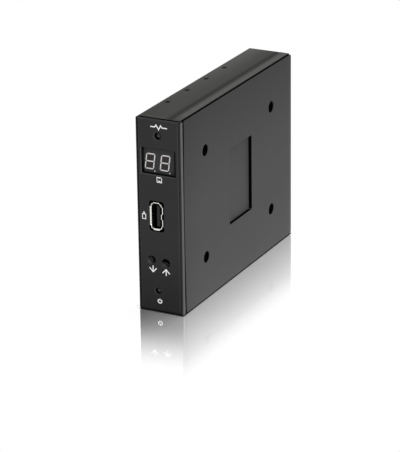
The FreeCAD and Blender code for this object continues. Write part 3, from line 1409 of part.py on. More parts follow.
def build():
    os.makedirs("parts", exist_ok=True)
    save("tray", tray())
    save("lid", lid())
    save("front_plate", front_plate())
    save("cover_screws", cover_screws())
    save("board_screws", board_screws())
    save("front_board", front_board())
    segments = display_segments()
    save("display_body", display_body(segments))
    save("display_segments", Part.makeCompound(segments))
    save("display_pins", display_pins())
    for name, place in (("busy", LAMP_PLACES[0]), ("power", LAMP_PLACES[1])):
        save(f"{name}_lamp", lamp(*place))
        save(f"{name}_lamp_spacer", lamp_spacer(*place))
    save("lamp_leads", lamp_leads())
    for name, place in (("down", DOWN_BUTTON_PLACE), ("up", UP_BUTTON_PLACE)):
        save(f"{name}_switch_body", switch_body(*place))
        save(f"{name}_switch_cover", switch_cover(*place))
        save(f"{name}_button", plunger(*place))
    save("switch_legs", switch_legs())
    save("usb_shell", usb_shell())
    save("usb_tongue", usb_tongue())
    save("usb_contacts", usb_contacts())
    header, header_pins = floppy_header()
    save("floppy_header", header)
    save("floppy_header_pins", Part.makeCompound(header_pins))
    strip, strip_pins = jumper_block()
    save("jumper_block", strip)
    save("jumper_pins", Part.makeCompound(strip_pins))
    save("jumper_shunt", jumper_shunt())
    socket, socket_pins = power_socket()
    save("power_socket", socket)
    save("power_pins", Part.makeCompound(socket_pins))
    save("main_board", main_board(pin_holes(header_pins + strip_pins + socket_pins)))
    save("controller", flat_chip(FRONT_Y + CHIP_Y, CHIP_Z, CHIP_SIZE, CHIP_SIZE, CHIP_HEIGHT))
    save("controller_pins", controller_pins())
    save("buffers", buffers())
    save("buffer_pins", buffer_pins())
    save("crystal", crystal())
    save("regulator", regulator())
    save("capacitors", capacitors())
    save("resistors", resistors())
    link, link_pins = link_header()
    save("link_header", link)
    save("link_pins", link_pins)


build()
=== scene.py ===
import math

import bpy
import numpy as np
from mathutils import Matrix, Vector


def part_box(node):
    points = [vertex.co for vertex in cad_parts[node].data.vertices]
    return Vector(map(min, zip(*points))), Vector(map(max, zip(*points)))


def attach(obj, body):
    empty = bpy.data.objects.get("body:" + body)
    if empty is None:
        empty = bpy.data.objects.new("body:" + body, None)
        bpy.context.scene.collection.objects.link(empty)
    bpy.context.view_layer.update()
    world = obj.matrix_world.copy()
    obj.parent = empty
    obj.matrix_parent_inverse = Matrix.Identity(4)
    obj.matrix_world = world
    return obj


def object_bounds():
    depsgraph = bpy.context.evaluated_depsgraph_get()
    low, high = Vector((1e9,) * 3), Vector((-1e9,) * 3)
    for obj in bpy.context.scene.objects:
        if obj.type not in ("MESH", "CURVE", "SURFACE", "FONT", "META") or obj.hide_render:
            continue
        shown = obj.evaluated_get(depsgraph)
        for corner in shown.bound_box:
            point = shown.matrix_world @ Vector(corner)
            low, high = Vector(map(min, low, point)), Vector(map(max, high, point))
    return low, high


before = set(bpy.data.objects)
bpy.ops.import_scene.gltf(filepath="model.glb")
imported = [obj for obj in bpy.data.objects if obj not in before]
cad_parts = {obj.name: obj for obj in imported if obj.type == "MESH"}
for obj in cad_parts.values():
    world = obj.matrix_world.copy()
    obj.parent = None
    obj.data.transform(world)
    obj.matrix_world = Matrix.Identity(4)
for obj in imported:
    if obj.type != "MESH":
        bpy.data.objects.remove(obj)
cad_low, cad_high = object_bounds()


# ---------------------------------------------------------------------------
# The camera. It stands in front of the drive, to its right and above it, and
# looks down on the front, the lid and the upper long side through a long lens.

CAMERA_PLACE = (0.516634, -1.022920, 0.463200)
CAMERA_AZIMUTH = math.radians(27.262)
CAMERA_ELEVATION = math.radians(20.955)
CAMERA_ROLL = math.radians(-0.821)
CAMERA_LENS = 188.74
SENSOR_WIDTH = 36.0

camera = bpy.data.objects.new("camera", bpy.data.cameras.new("camera"))
camera.data.sensor_width = SENSOR_WIDTH
camera.data.lens = CAMERA_LENS
back = Vector((
    math.sin(CAMERA_AZIMUTH) * math.cos(CAMERA_ELEVATION),
    -math.cos(CAMERA_AZIMUTH) * math.cos(CAMERA_ELEVATION),
    math.sin(CAMERA_ELEVATION),
))
level = Vector((0, 0, 1)).cross(back).normalized()
upright = back.cross(level)
right = math.cos(CAMERA_ROLL) * level + math.sin(CAMERA_ROLL) * upright
up = math.cos(CAMERA_ROLL) * upright - math.sin(CAMERA_ROLL) * level
turn = Matrix((right, up, back)).transposed().to_4x4()
camera.matrix_world = Matrix.Translation(CAMERA_PLACE) @ turn
bpy.context.scene.collection.objects.link(camera)
bpy.context.scene.camera = camera
bpy.context.scene.view_settings.view_transform = "Standard"


# ---------------------------------------------------------------------------
# The studio: a white polished floor that mirrors the drive close to its foot
# and fades into a plain white room, and two large soft lamps. Places on the
# floor are judged by the height, in millimetres, that their reflection shows.

FLOOR_HALF = 6.0
FLOOR_LEVEL = -0.00002
FLOOR_TINTS = ((0.90, 0.90, 0.90), (0.94, 0.94, 0.94))
FLOOR_LUMPS = 60.0
MATT_ROUGHNESS = 0.6
FLOOR_PER_HEIGHT_BESIDE = 1.196
FLOOR_PER_HEIGHT_AHEAD = 2.32
FRONT_MIRROR = 0.80
FRONT_SLANT = 0.007
FRONT_REACH = 18.5
FRONT_POWER = 3.3
SIDE_MIRROR = 0.645
SIDE_REACH = 36.0
SIDE_POWER = 1.3
POLISH = 0.03
# Painted shadow under the drive's footprint: its tint and how far it reaches.
FOOT_SHADOW_TINT = (0.03, 0.03, 0.03, 1)
FOOT_SHADOW_REACH = 0.3
FADE_FROM = 20.0
FADE_TO = 40.0
FADE_LEFT = 4.0
FADE_BEHIND = 20.0
WHITE = (1, 1, 1, 1)
ROOM_LIGHT = 0.45
LAMP_AIM = (0, 0, 0.05)
TOP_LAMP_PLACE = (0.15, 0.30, 1.15)
TOP_LAMP_WIDTH = 1.0
TOP_LAMP_POWER = 7.0
SIDE_LAMP_PLACE = (1.2, -0.70, 0.85)
SIDE_LAMP_WIDTH = 0.6
SIDE_LAMP_POWER = 17.0


class Value:
    """A node's output that takes part in sums: each operator adds the Math node for it."""

    def __init__(self, surface, socket):
        self.surface = surface
        self.socket = socket

    def math(self, operation, first, second=0.0):
        return self.surface.node("ShaderNodeMath", {"operation": operation}, {0: first, 1: second})

    def __add__(self, other):
        return self.math("ADD", self, other)

    def __radd__(self, other):
        return self.math("ADD", other, self)

    def __sub__(self, other):
        return self.math("SUBTRACT", self, other)

    def __rsub__(self, other):
        return self.math("SUBTRACT", other, self)

    def __mul__(self, other):
        return self.math("MULTIPLY", self, other)

    def __truediv__(self, other):
        return self.math("DIVIDE", self, other)

    def __pow__(self, other):
        return self.math("POWER", self, other)

    def __abs__(self):
        return self.math("ABSOLUTE", self)

    def __gt__(self, other):
        return self.math("GREATER_THAN", self, other)

    def __lt__(self, other):
        return self.math("LESS_THAN", self, other)

    def at_least(self, other):
        return self.math("MAXIMUM", self, other)

    def at_most(self, other):
        return self.math("MINIMUM", self, other)

    def rise(self, low, high):
        """0 below low, 1 above high and a straight rise between them."""
        return ((self - low) / (high - low)).at_least(0.0).at_most(1.0)


class Surface:
    """A material, or the room, while its nodes are being laid."""

    def __init__(self, owner):
        owner.use_nodes = True
        self.tree = owner.node_tree
        self.tree.nodes.clear()

    def node(self, kind, settings=None, inputs=None, output=0):
        """Adds one node: its settings first, then the value or link of each of its sockets."""
        made = self.tree.nodes.new(kind)
        for name, value in (settings or {}).items():
            setattr(made, name, value)
        for name, value in (inputs or {}).items():
            if isinstance(value, Value):
                self.tree.links.new(value.socket, made.inputs[name])
            else:
                made.inputs[name].default_value = value
        return Value(self, made.outputs[output]) if made.outputs else None

    def place(self):
        """The three coordinates of a point of the piece, in millimetres."""
        at = self.node("ShaderNodeTexCoord", output="Object")
        return [part * 1000.0 for part in self.parts(at)]

    def facing(self):
        """The three parts of the direction in which the surface faces."""
        return self.parts(self.node("ShaderNodeNewGeometry", output="Normal"))

    def parts(self, vector):
        """The three numbers of a vector."""
        return [self.node("ShaderNodeSeparateXYZ", {}, {0: vector}, i) for i in range(3)]

    def noise(self, size, detail=2.0, rough=0.5):
        """Soft noise around 0.5 whose lumps are about this many millimetres across."""
        at = self.node("ShaderNodeTexCoord", output="Object")
        sockets = {"Vector": at, "Scale": 1000.0 / size, "Detail": detail, "Roughness": rough}
        return self.node("ShaderNodeTexNoise", {}, sockets, "Fac")

    def wander(self, size, amount, middle):
        """A value that soft noise moves round its middle, over a range of about this amount."""
        return (self.noise(size) - 0.5) * amount + middle

    def blend(self, share, first, second):
        """The first colour, going over to the second as the share goes from 0 to 1."""
        sockets = {0: share, 6: first, 7: second}
        return self.node("ShaderNodeMix", {"data_type": "RGBA"}, sockets, 2)

    def shades(self, amount, dark, light):
        """A colour between a dark and a light one, by an amount from 0 to 1."""
        return self.blend(amount, (*dark, 1.0), (*light, 1.0))


floor_material = bpy.data.materials.new("white_floor")
floor = Surface(floor_material)
x, y, z = floor.place()
low, high = cad_low * 1000, cad_high * 1000
middle, half = (low + high) / 2, (high - low) / 2
beside = (abs(x - middle.x) - half.x).at_least(0.0) / FLOOR_PER_HEIGHT_BESIDE
ahead = (abs(y - middle.y) - half.y).at_least(0.0) / FLOOR_PER_HEIGHT_AHEAD
away = ahead.at_least(beside)
front_fall = (ahead / FRONT_REACH) ** FRONT_POWER + 1.0
front_share = (FRONT_MIRROR - x * FRONT_SLANT).at_most(1.0) / front_fall
side_share = (1.0 - (beside / SIDE_REACH) ** SIDE_POWER).at_least(0.0) * SIDE_MIRROR
mirror = side_share + (front_share - side_share) * (ahead > beside)
paint = floor.shades(floor.noise(FLOOR_LUMPS), *FLOOR_TINTS)
matt = floor.node("ShaderNodeBsdfDiffuse", {}, {"Color": paint, "Roughness": MATT_ROUGHNESS})
polish = floor.node("ShaderNodeBsdfGlossy", {}, {"Color": WHITE, "Roughness": POLISH})
shine = floor.node("ShaderNodeMixShader", {}, {0: mirror, 1: matt, 2: polish})
# Painted shadow: the floor goes over to dark grey right under the drive's footprint.
painted_shade_black = floor.node("ShaderNodeBsdfDiffuse", {}, {"Color": FOOT_SHADOW_TINT})
foot_shadow = 1.0 - away.rise(0.0, FOOT_SHADOW_REACH)
solid = floor.node("ShaderNodeMixShader", {}, {0: foot_shadow, 1: shine, 2: painted_shade_black})
empty = floor.node("ShaderNodeBsdfTransparent", {}, {"Color": WHITE})
leaving = away.rise(FADE_FROM, FADE_TO).at_least((low.x - x).rise(0.0, FADE_LEFT))
leaving = leaving.at_least((y - high.y).rise(0.0, FADE_BEHIND))
fade = leaving * floor.node("ShaderNodeLightPath", output="Is Camera Ray")
whole = floor.node("ShaderNodeMixShader", {}, {0: fade, 1: solid, 2: empty})
floor.node("ShaderNodeOutputMaterial", {}, {"Surface": whole})

floor_mesh = bpy.data.meshes.new("floor")
corners = [(-1, -1), (1, -1), (1, 1), (-1, 1)]
spots = [(a * FLOOR_HALF, b * FLOOR_HALF, FLOOR_LEVEL) for a, b in corners]
floor_mesh.from_pydata(spots, [], [(0, 1, 2, 3)])
floor_mesh.materials.append(floor_material)
floor_piece = bpy.data.objects.new("floor", floor_mesh)
bpy.context.scene.collection.objects.link(floor_piece)

room = bpy.data.worlds.new("room")
bpy.context.scene.world = room
air = Surface(room)
looks = [air.node("ShaderNodeLightPath", output=name) for name in
         ("Is Camera Ray", "Is Glossy Ray", "Is Transmission Ray")]
seen = (looks[0] + looks[1] + looks[2]).at_most(1.0)
strength = seen * (1.0 - ROOM_LIGHT) + ROOM_LIGHT
glow = air.node("ShaderNodeBackground", {}, {"Color": WHITE, "Strength": strength})
air.node("ShaderNodeOutputWorld", {}, {"Surface": glow})


def soft_lamp(name, place, width, power):
    """A square lamp of this width that faces the drive."""
    data = bpy.data.lights.new(name, "AREA")
    data.shape = "SQUARE"
    data.size = width
    data.energy = power
    lamp = bpy.data.objects.new(name, data)
    lamp.location = place
    lamp.rotation_euler = (Vector(place) - Vector(LAMP_AIM)).to_track_quat("Z", "Y").to_euler()
    lamp.visible_camera = False
    bpy.context.scene.collection.objects.link(lamp)


soft_lamp("top_lamp", TOP_LAMP_PLACE, TOP_LAMP_WIDTH, TOP_LAMP_POWER)
soft_lamp("side_lamp", SIDE_LAMP_PLACE, SIDE_LAMP_WIDTH, SIDE_LAMP_POWER)


# ---------------------------------------------------------------------------
# The tray: one injection moulding of dark grey ABS that makes the underside,
# both long sides, the rear wall and the frame round the front plate. Its mould
# was spark-eroded, which leaves a fine satin grain, and its edges are rubbed.
# Places are in millimetres and a relief's height and radius in metres. A gain
# or loss is a share of the skin's colour. Black in gaps and holes is painted shade.

CLOUD_LUMPS = 9.0
CLOUD_TONE = 0.5
CLOUD_SATIN = 0.08
FLECK_LUMPS = 0.55
FLECK_TONE = 0.35
EDGE_RADIUS = 0.00025
EDGE_BEND = (0.02, 0.30)
EDGE_FLECK = 0.6
EDGE_POLISH = 0.08
GRAIN_HEIGHT = 0.00006
GRAIN_STRENGTH = 0.22
GRAIN_SATIN = 0.10
DARKER = 0.86
LIGHTER = 1.14
BLACK = (0.002, 0.002, 0.002, 1.0)

TRAY_TINT = (0.050, 0.050, 0.0475)
TRAY_EDGE = (0.085, 0.085, 0.082)
SEAM_RIM_X = 11.0
SEAM_RIM_Z = (0.3, 101.3)
FRAME_REAR_Y = -61.2
FRAME_STEP_Y = (-62.2, -62.0)
FRAME_STEP_X = (-11.8, 11.4)
SIDE_HOLE_X = -8.55
SIDE_HOLE_YS = (-37.0, -16.0, 5.0, 26.0)
SIDE_HOLE_RADIUS = 1.31
SIDE_HOLE_Z = (0.35, 101.25)

# Painted light and shade on the tray, as shares of its colour, and a slight blue tint below the
# upper side.
UPPER_SIDE_Z = 101.0
UNDERSIDE_LEVEL = 0.67
CREASE_X = (2.0, 5.2)
CREASE_LOSS = 0.43
BAND_X = (6.0, 8.2)
BAND_GAIN = 1.06
FAR_SLOPE = -0.11
FAR_Y = (-60.0, 60.0)
FAR_GAIN = 0.80
NEAR_LOSS = 0.12
BROW_Y = -58.5
BROW_X = 5.0
BROW_GAIN = 0.14
CORNER_X = 5.5
CORNER_Y = (-61.0, -52.0)
CORNER_LOSS = 0.45
LIP_X = (10.55, 10.85)
LIP_LOSS = 0.75
BAR_X = 12.2
BAR_GAIN = 0.40
FACE_Y = -63.35
FACE_LOSS = 0.55
BLUE_GAIN = 0.05


def hole(across, along, middle, radius):
    """1 within this radius of an axis and 0 outside it, in millimetres."""
    return ((across - middle[0]) ** 2.0 + (along - middle[1]) ** 2.0) ** 0.5 < radius


def within(value, low, high):
    """1 between two values and 0 outside them."""
    return (value > low) * (value < high)


def moulding(name, tint, edge_tint, gloss, roughness, grain, painted_shade_at, painted_light_at):
    """Satin moulded plastic: broad cloudiness, fine grain that is rougher in its pits, and edges
    rubbed paler. One function of the place gives painted shade, which goes over to black in
    narrow gaps and deep holes, and another the painted light and shade, the share by which the
    red, green and blue of the skin are paler or darker."""
    material = bpy.data.materials.new(name)
    skin = Surface(material)
    at = skin.place()
    cloud = skin.noise(CLOUD_LUMPS, detail=3.0)
    fleck = skin.noise(FLECK_LUMPS)
    pits = skin.noise(grain, detail=3.0, rough=0.6)
    tone = (cloud - 0.5) * CLOUD_TONE + (fleck - 0.5) * FLECK_TONE + 0.5
    body = skin.shades(tone, [c * DARKER for c in tint], [c * LIGHTER for c in tint])
    rounded = skin.node("ShaderNodeBevel", {"samples": 4}, {"Radius": EDGE_RADIUS})
    flat = skin.node("ShaderNodeNewGeometry", output="Normal")
    product = {"operation": "DOT_PRODUCT"}
    kept = skin.node("ShaderNodeVectorMath", product, {0: rounded, 1: flat}, "Value")
    edge = (1.0 - kept).rise(*EDGE_BEND) * (fleck * EDGE_FLECK + (1.0 - EDGE_FLECK))
    worn = skin.blend(edge, body, (*edge_tint, 1.0))
    # Painted light and shade scale the worn colour.
    painted_light_factors = skin.node("ShaderNodeCombineXYZ", {}, dict(enumerate(painted_light_at(*at))))
    shown = skin.node("ShaderNodeVectorMath", {"operation": "MULTIPLY"}, {0: worn, 1: painted_light_factors})
    bumps = skin.node("ShaderNodeBump", {}, {
        "Strength": GRAIN_STRENGTH, "Distance": GRAIN_HEIGHT, "Height": pits, "Normal": rounded,
    })
    satin = (cloud - 0.5) * CLOUD_SATIN + (pits - 0.5) * GRAIN_SATIN + roughness
    satin = satin - edge * EDGE_POLISH
    finish = skin.node("ShaderNodeBsdfPrincipled", {}, {
        "Base Color": shown, "Roughness": satin, "Specular IOR Level": gloss, "Normal": bumps,
    })
    # Painted shade: black where the painted shade function gives 1.
    painted_shade_black = skin.node("ShaderNodeBsdfDiffuse", {}, {"Color": BLACK})
    deep = painted_shade_at(*at).at_most(1.0)
    whole = skin.node("ShaderNodeMixShader", {}, {0: deep, 1: finish, 2: painted_shade_black})
    skin.node("ShaderNodeOutputMaterial", {}, {"Surface": whole})
    return material


def dress(material, *nodes):
    """Gives CAD nodes their material, in every slot that they have."""
    for name in nodes:
        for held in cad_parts[name].material_slots:
            held.material = material


def tray_painted_shade(x, y, z):
    """Painted shade, black: the rims in the seam under the lid, the step behind the plate's ends
    and the side holes.
    """
    rim = within(z, *SEAM_RIM_Z) * (x > SEAM_RIM_X) * (y > FRAME_REAR_Y)
    step = within(y, *FRAME_STEP_Y) * within(x, *FRAME_STEP_X)
    deep = rim.at_least(step)
    for hole_y in SIDE_HOLE_YS:
        bore = hole(x, y, (SIDE_HOLE_X, hole_y), SIDE_HOLE_RADIUS)
        deep = deep.at_least(bore * within(z, *SIDE_HOLE_Z))
    return deep


def tray_painted_light(x, y, z):
    """Painted light and shade on the skin: painted shade in the crease, on the lip at the seam, at
    the band's front end and on the front faces, painted highlights on the band, along the front of
    the upper side and on the bar beside the lid, and painted light growing to the rear on the half
    away from the lid. Below the upper side the skin is a touch bluer."""
    upper = z > UPPER_SIDE_Z
    band = x.rise(*BAND_X) * BAND_GAIN - x.rise(*CREASE_X) * CREASE_LOSS + UNDERSIDE_LEVEL
    far = (x * FAR_SLOPE).rise(0.0, 1.0) * (y.rise(*FAR_Y) * FAR_GAIN - NEAR_LOSS)
    brow = upper * (y < BROW_Y) * (x < BROW_X) * BROW_GAIN + 1.0
    corner = 1.0 - upper * (x > CORNER_X) * (1.0 - y.rise(*CORNER_Y)) * CORNER_LOSS
    lip = 1.0 - upper * x.rise(*LIP_X) * LIP_LOSS
    bar = (x > BAR_X) * (y < FRAME_REAR_Y) * BAR_GAIN + 1.0
    face = 1.0 - (y < FACE_Y) * FACE_LOSS
    level = (band * brow * corner * lip + far) * bar * face
    return level, level, level * ((z < UPPER_SIDE_Z) * BLUE_GAIN + 1.0)


dress(moulding("tray_plastic", TRAY_TINT, TRAY_EDGE, gloss=0.08, roughness=0.66, grain=0.22,
               painted_shade_at=tray_painted_shade, painted_light_at=tray_painted_light), "tray")


# ---------------------------------------------------------------------------
# The lid: a second ABS moulding that closes the large side, with a shallow
# pocket, held by four screws deep in its wells.

LID_TINT = (0.054, 0.0525, 0.053)
LID_EDGE = (0.090, 0.089, 0.090)
LID_SKIN_X = 12.15
LID_UPPER_EDGE_Z = 101.0
LID_LOWER_EDGE_Z = 0.6
LID_FRONT_EDGE_Y = -59.4
POCKET_X = (10.45, 12.22)
POCKET_Y = (-10.9, 15.2)
POCKET_Z = (30.4, 71.2)
POCKET_REAR_WALL_Y = 15.08
POCKET_LOWER_WALL_Z = 30.52
WELL_YS = (-37.1, 38.7)
WELL_ZS = (22.45, 79.15)
WELL_RADIUS = 3.04
WELL_TOP_X = 12.0

# Painted light and shade on the lid, as shares of its colour.
FOOT_LEVEL = 1.27
LID_FOOT_Z = (0.0, 35.0)
LID_FOOT_LOSS = 0.22
LID_HEAD_Z = (45.0, 100.0)
LID_HEAD_POWER = 1.2
LID_HEAD_LOSS = 0.46
LID_FRONT_LEVEL = 0.86
LID_FRONT_Y = (-60.0, -42.0)
LID_MIDDLE_GAIN = 0.14
LID_REAR_Y = (59.0, 61.0)
LID_REAR_GAIN = 0.15


def lid_painted_shade(x, y, z):
    """Painted shade, black: the edges in the seam and the front gap, the pocket's rear and lower
    walls and the wells.
    """
    edges = (z > LID_UPPER_EDGE_Z).at_least(z < LID_LOWER_EDGE_Z).at_least(y < LID_FRONT_EDGE_Y)
    walls = (y > POCKET_REAR_WALL_Y).at_least(z < POCKET_LOWER_WALL_Z)
    pocket = walls * within(x, *POCKET_X) * within(y, *POCKET_Y) * within(z, *POCKET_Z)
    deep = (edges * (x < LID_SKIN_X)).at_least(pocket)
    for well in [(well_y, well_z) for well_y in WELL_YS for well_z in WELL_ZS]:
        deep = deep.at_least(hole(y, z, well, WELL_RADIUS) * (x < WELL_TOP_X))
    return deep


def lid_painted_light(x, y, z):
    """Painted light and shade on the lid: darker towards its upper and front edges, lighter at its
    foot and rear. The loss towards the upper edge is a power of the share of the way up."""
    upwards = z.rise(*LID_HEAD_Z) ** LID_HEAD_POWER * LID_HEAD_LOSS
    height = FOOT_LEVEL - upwards - z.rise(*LID_FOOT_Z) * LID_FOOT_LOSS
    rearwards = y.rise(*LID_FRONT_Y) * LID_MIDDLE_GAIN + y.rise(*LID_REAR_Y) * LID_REAR_GAIN
    return [height * (rearwards + LID_FRONT_LEVEL)] * 3


dress(moulding("lid_plastic", LID_TINT, LID_EDGE, gloss=0.10, roughness=0.64, grain=0.22,
               painted_shade_at=lid_painted_shade, painted_light_at=lid_painted_light), "lid")


# ---------------------------------------------------------------------------
# The front plate: a thin inset moulding, a shade darker and smoother than the
# shell, with the openings for the display, socket, buttons and lamps.

PLATE_TINT = (0.029, 0.029, 0.0305)
PLATE_EDGE = (0.052, 0.052, 0.055)
PLATE_ENDS_Z = (0.33, 101.27)
WINDOW_X = (-10.0, 9.3)
WINDOW_Z = (72.3, 86.2)
WINDOW_WALL_Y = -62.95
OPENING_X = (-7.2, 1.6)
OPENING_Z = (42.6, 59.2)
OPENING_WALL_Y = -63.1
BUSY_LAMP = (-0.5, 92.7)
POWER_LAMP = (-1.8, 11.3)
BUSY_HOLE_RADIUS = 1.9
POWER_HOLE_RADIUS = 1.65
LAMP_RING_WIDTH = 0.5
LAMP_WALL_Y = -62.9
DOWN_BUTTON = (-5.25, 27.25)
UP_BUTTON = (2.75, 26.75)
BORE_RADIUS = 2.3
BORE_WALL_Y = -63.0
DOWN_DARK_Z = 28.1
UP_DARK_Z = 26.7

# Painted light and shade on the plate, as shares of its colour.
SUNK_Y = -63.43
RIM_LEFT_X = -10.75
RIM_LEFT_GAIN = 2.4
RIM_RIGHT_X = 10.35
RIM_RIGHT_GAIN = 0.5
RIM_UPPER_Z = 100.45
RIM_UPPER_GAIN = 0.15
RIM_LOWER_Z = 1.12
RIM_LOWER_LOSS = 0.15
SILL_GAIN = 0.9
SILL_STRIPS = (((-10.2, -9.65), (72.0, 86.5)), ((-10.2, 9.5), (72.1, 72.65)))
LINTEL_LOSS = 0.4
LINTEL_STRIPS = (((8.9, 9.5), (72.5, 86.5)), ((-9.8, 9.5), (85.8, 86.4)))
RING_GAIN = 0.5
BORE_Y = (-63.1, -60.9)
DOWN_LIT_Z = (26.0, 28.4)
UP_LIT_Z = (25.0, 26.4)
BORE_FRONT_GAIN = 0.7
BORE_DEEP_GAIN = 3.6
PLATE_FOOT_LEVEL = 0.55
PLATE_FOOT_Z = (0.0, 35.0)
PLATE_FOOT_GAIN = 0.45


def plate_painted_shade(x, y, z):
    """Painted shade, black: the walls of the window and of the openings for the socket and lamps,
    and the upper walls of the button holes, all behind their chamfers, and the plate's two ends."""
    window = within(x, *WINDOW_X) * within(z, *WINDOW_Z) * (y > WINDOW_WALL_Y)
    socket = within(x, *OPENING_X) * within(z, *OPENING_Z) * (y > OPENING_WALL_Y)
    lamps = hole(x, z, BUSY_LAMP, BUSY_HOLE_RADIUS).at_least(
        hole(x, z, POWER_LAMP, POWER_HOLE_RADIUS)) * (y > LAMP_WALL_Y)
    bores = (hole(x, z, DOWN_BUTTON, BORE_RADIUS) * (z > DOWN_DARK_Z)).at_least(
        hole(x, z, UP_BUTTON, BORE_RADIUS) * (z > UP_DARK_Z)) * (y > BORE_WALL_Y)
    ends = (z < PLATE_ENDS_Z[0]).at_least(z > PLATE_ENDS_Z[1])
    return window.at_least(socket).at_least(lamps).at_least(bores).at_least(ends)


def on_strips(x, z, strips):
    """1 on either of two straight chamfers of the window and 0 elsewhere."""
    first, second = [within(x, *across) * within(z, *up) for across, up in strips]
    return first.at_least(second)


def plate_painted_light(x, y, z):
    """Painted light and shade on the skin: painted highlights on the chamfers round the plate, on
    the window's sill and round the lamp holes, painted shade on the window's lintel and along the
    plate's lower edge, painted light on the lower walls of the button holes, and darker towards
    the foot."""
    sunk = y > SUNK_Y
    sides = ((x < RIM_LEFT_X) * RIM_LEFT_GAIN).at_least((x > RIM_RIGHT_X) * RIM_RIGHT_GAIN)
    rim = sunk * sides.at_least((z > RIM_UPPER_Z) * RIM_UPPER_GAIN)
    foot = 1.0 - sunk * (z < RIM_LOWER_Z) * RIM_LOWER_LOSS
    sill, lintel = on_strips(x, z, SILL_STRIPS), on_strips(x, z, LINTEL_STRIPS)
    bores = hole(x, z, DOWN_BUTTON, BORE_RADIUS) * (1.0 - z.rise(*DOWN_LIT_Z))
    bores = bores + hole(x, z, UP_BUTTON, BORE_RADIUS) * (1.0 - z.rise(*UP_LIT_Z))
    bores = bores * (y > BORE_Y[0]) * (y.rise(*BORE_Y) * BORE_DEEP_GAIN + BORE_FRONT_GAIN)
    rings = hole(x, z, BUSY_LAMP, BUSY_HOLE_RADIUS + LAMP_RING_WIDTH).at_least(
        hole(x, z, POWER_LAMP, POWER_HOLE_RADIUS + LAMP_RING_WIDTH))
    chamfers = sill * SILL_GAIN - lintel * LINTEL_LOSS + rings * RING_GAIN
    level = (sunk * (chamfers + bores) + rim + 1.0) * foot
    return [level * (z.rise(*PLATE_FOOT_Z) * PLATE_FOOT_GAIN + PLATE_FOOT_LEVEL)] * 3


dress(moulding("plate_plastic", PLATE_TINT, PLATE_EDGE, gloss=0.06, roughness=0.64, grain=0.18,
               painted_shade_at=plate_painted_shade, painted_light_at=plate_painted_light), "front_plate")


# ---------------------------------------------------------------------------
# The marks: pad-printed white ink on the front plate. Two arrows stand under
# the buttons, and plain signs for activity, a disk, a plug and power stand by
# the lamps, the display and the socket.

INK_TINTS = ((0.74, 0.74, 0.75), (0.90, 0.90, 0.91))
INK_LUMPS = 0.35
INK_RUB_LUMPS = 1.2
INK_SATIN = 0.2
INK_ROUGHNESS = 0.55
INK_WIDTH = 0.54
INK_PROUD = 0.02
INK_SUNK = 0.01
ARROW_TIP = 1.75
ARROW_TAIL = 1.55
ARROW_ARM = (2.0, 2.1)
ARROW_DOWN_MIDDLE = (-4.3, 23.0)
ARROW_UP_MIDDLE = (3.0, 21.8)
ACTIVITY_MIDDLE = (0.4, 97.4)
DISK_MIDDLE = (0.2, 70.3)
PLUG_MIDDLE = (-8.7, 50.4)
POWER_MIDDLE = (-0.8, 6.0)
DISK_WIDTH = 0.35
PLUG_WIDTH = 0.4
POWER_WIDTH = 0.5
plate_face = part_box("front_plate")[0].y * 1000


def band(path, width, closed):
    """The left and right rims of a flat band along a path. At each point the sideways shift is half
    the width along the mitre: the sum of the normals of the two runs that meet, over one plus their
    product."""
    path = np.asarray(path, float)
    runs = np.roll(path, -1, 0) - path
    runs /= np.linalg.norm(runs, axis=1)[:, None]
    before = np.roll(runs, 1, 0)
    if not closed:
        runs[-1] = runs[-2]
        before[0] = runs[0]
    quarter_turn = np.array([[0, 1], [-1, 0]])
    after_side, before_side = runs @ quarter_turn, before @ quarter_turn
    mitre = (after_side + before_side) / (1 + (after_side * before_side).sum(1))[:, None]
    return path + mitre * width / 2, path - mitre * width / 2


def strip(left, right, front, back):
    """The rings of a strip that faces forwards: four corners at each point of its two rims, which
    are in millimetres like the places of its front and back faces."""
    rings = np.empty((len(left), 4, 3))
    corners = [(left, front), (right, front), (right, back), (left, back)]
    for corner, (rim, face) in enumerate(corners):
        rings[:, corner, 0] = rim[:, 0] / 1000
        rings[:, corner, 1] = face / 1000
        rings[:, corner, 2] = rim[:, 1] / 1000
    return rings


def piece(name, rings, closed, material, body):
    """A mesh through rings of points: quads join each point to the next in its ring and to its
    fellow in the next ring. Open ends are closed by the ring itself. The volume is the sum of the
    triple products of the corners of every triangle, and where it is negative all faces turn."""
    rings = np.asarray(rings, float)
    count, size = rings.shape[:2]
    steps = np.arange(count if closed else count - 1)
    i, j = np.meshgrid(steps, np.arange(size), indexing="ij")
    k, m = (i + 1) % count, (j + 1) % size
    quads = [i * size + j, i * size + m, k * size + m, k * size + j]
    faces = np.stack(quads, -1).reshape(-1, 4).tolist()
    if not closed:
        faces.append(list(range(size))[::-1])
        faces.append(list(range((count - 1) * size, count * size)))
    points = rings.reshape(-1, 3)
    fans = np.array([(f[0], f[n], f[n + 1]) for f in faces for n in range(1, len(f) - 1)])
    a, b, c = np.moveaxis(points[fans] - points.mean(0), 1, 0)
    if (np.cross(a, b) * c).sum() < 0:
        faces = [face[::-1] for face in faces]
    mesh = bpy.data.meshes.new(name)
    mesh.from_pydata(points.tolist(), [], faces)
    mesh.materials.append(material)
    made = bpy.data.objects.new(name, mesh)
    bpy.context.scene.collection.objects.link(made)
    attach(made, body)


def ink(name, middle, path, closed=False, width=INK_WIDTH):
    """A printed stroke on the front plate along a path that is measured from its middle."""
    left, right = band(np.asarray(path, float) + middle, width, closed)
    rings = strip(left, right, plate_face - INK_PROUD, plate_face + INK_SUNK)
    piece(name, rings, closed, white_ink, "chassis")


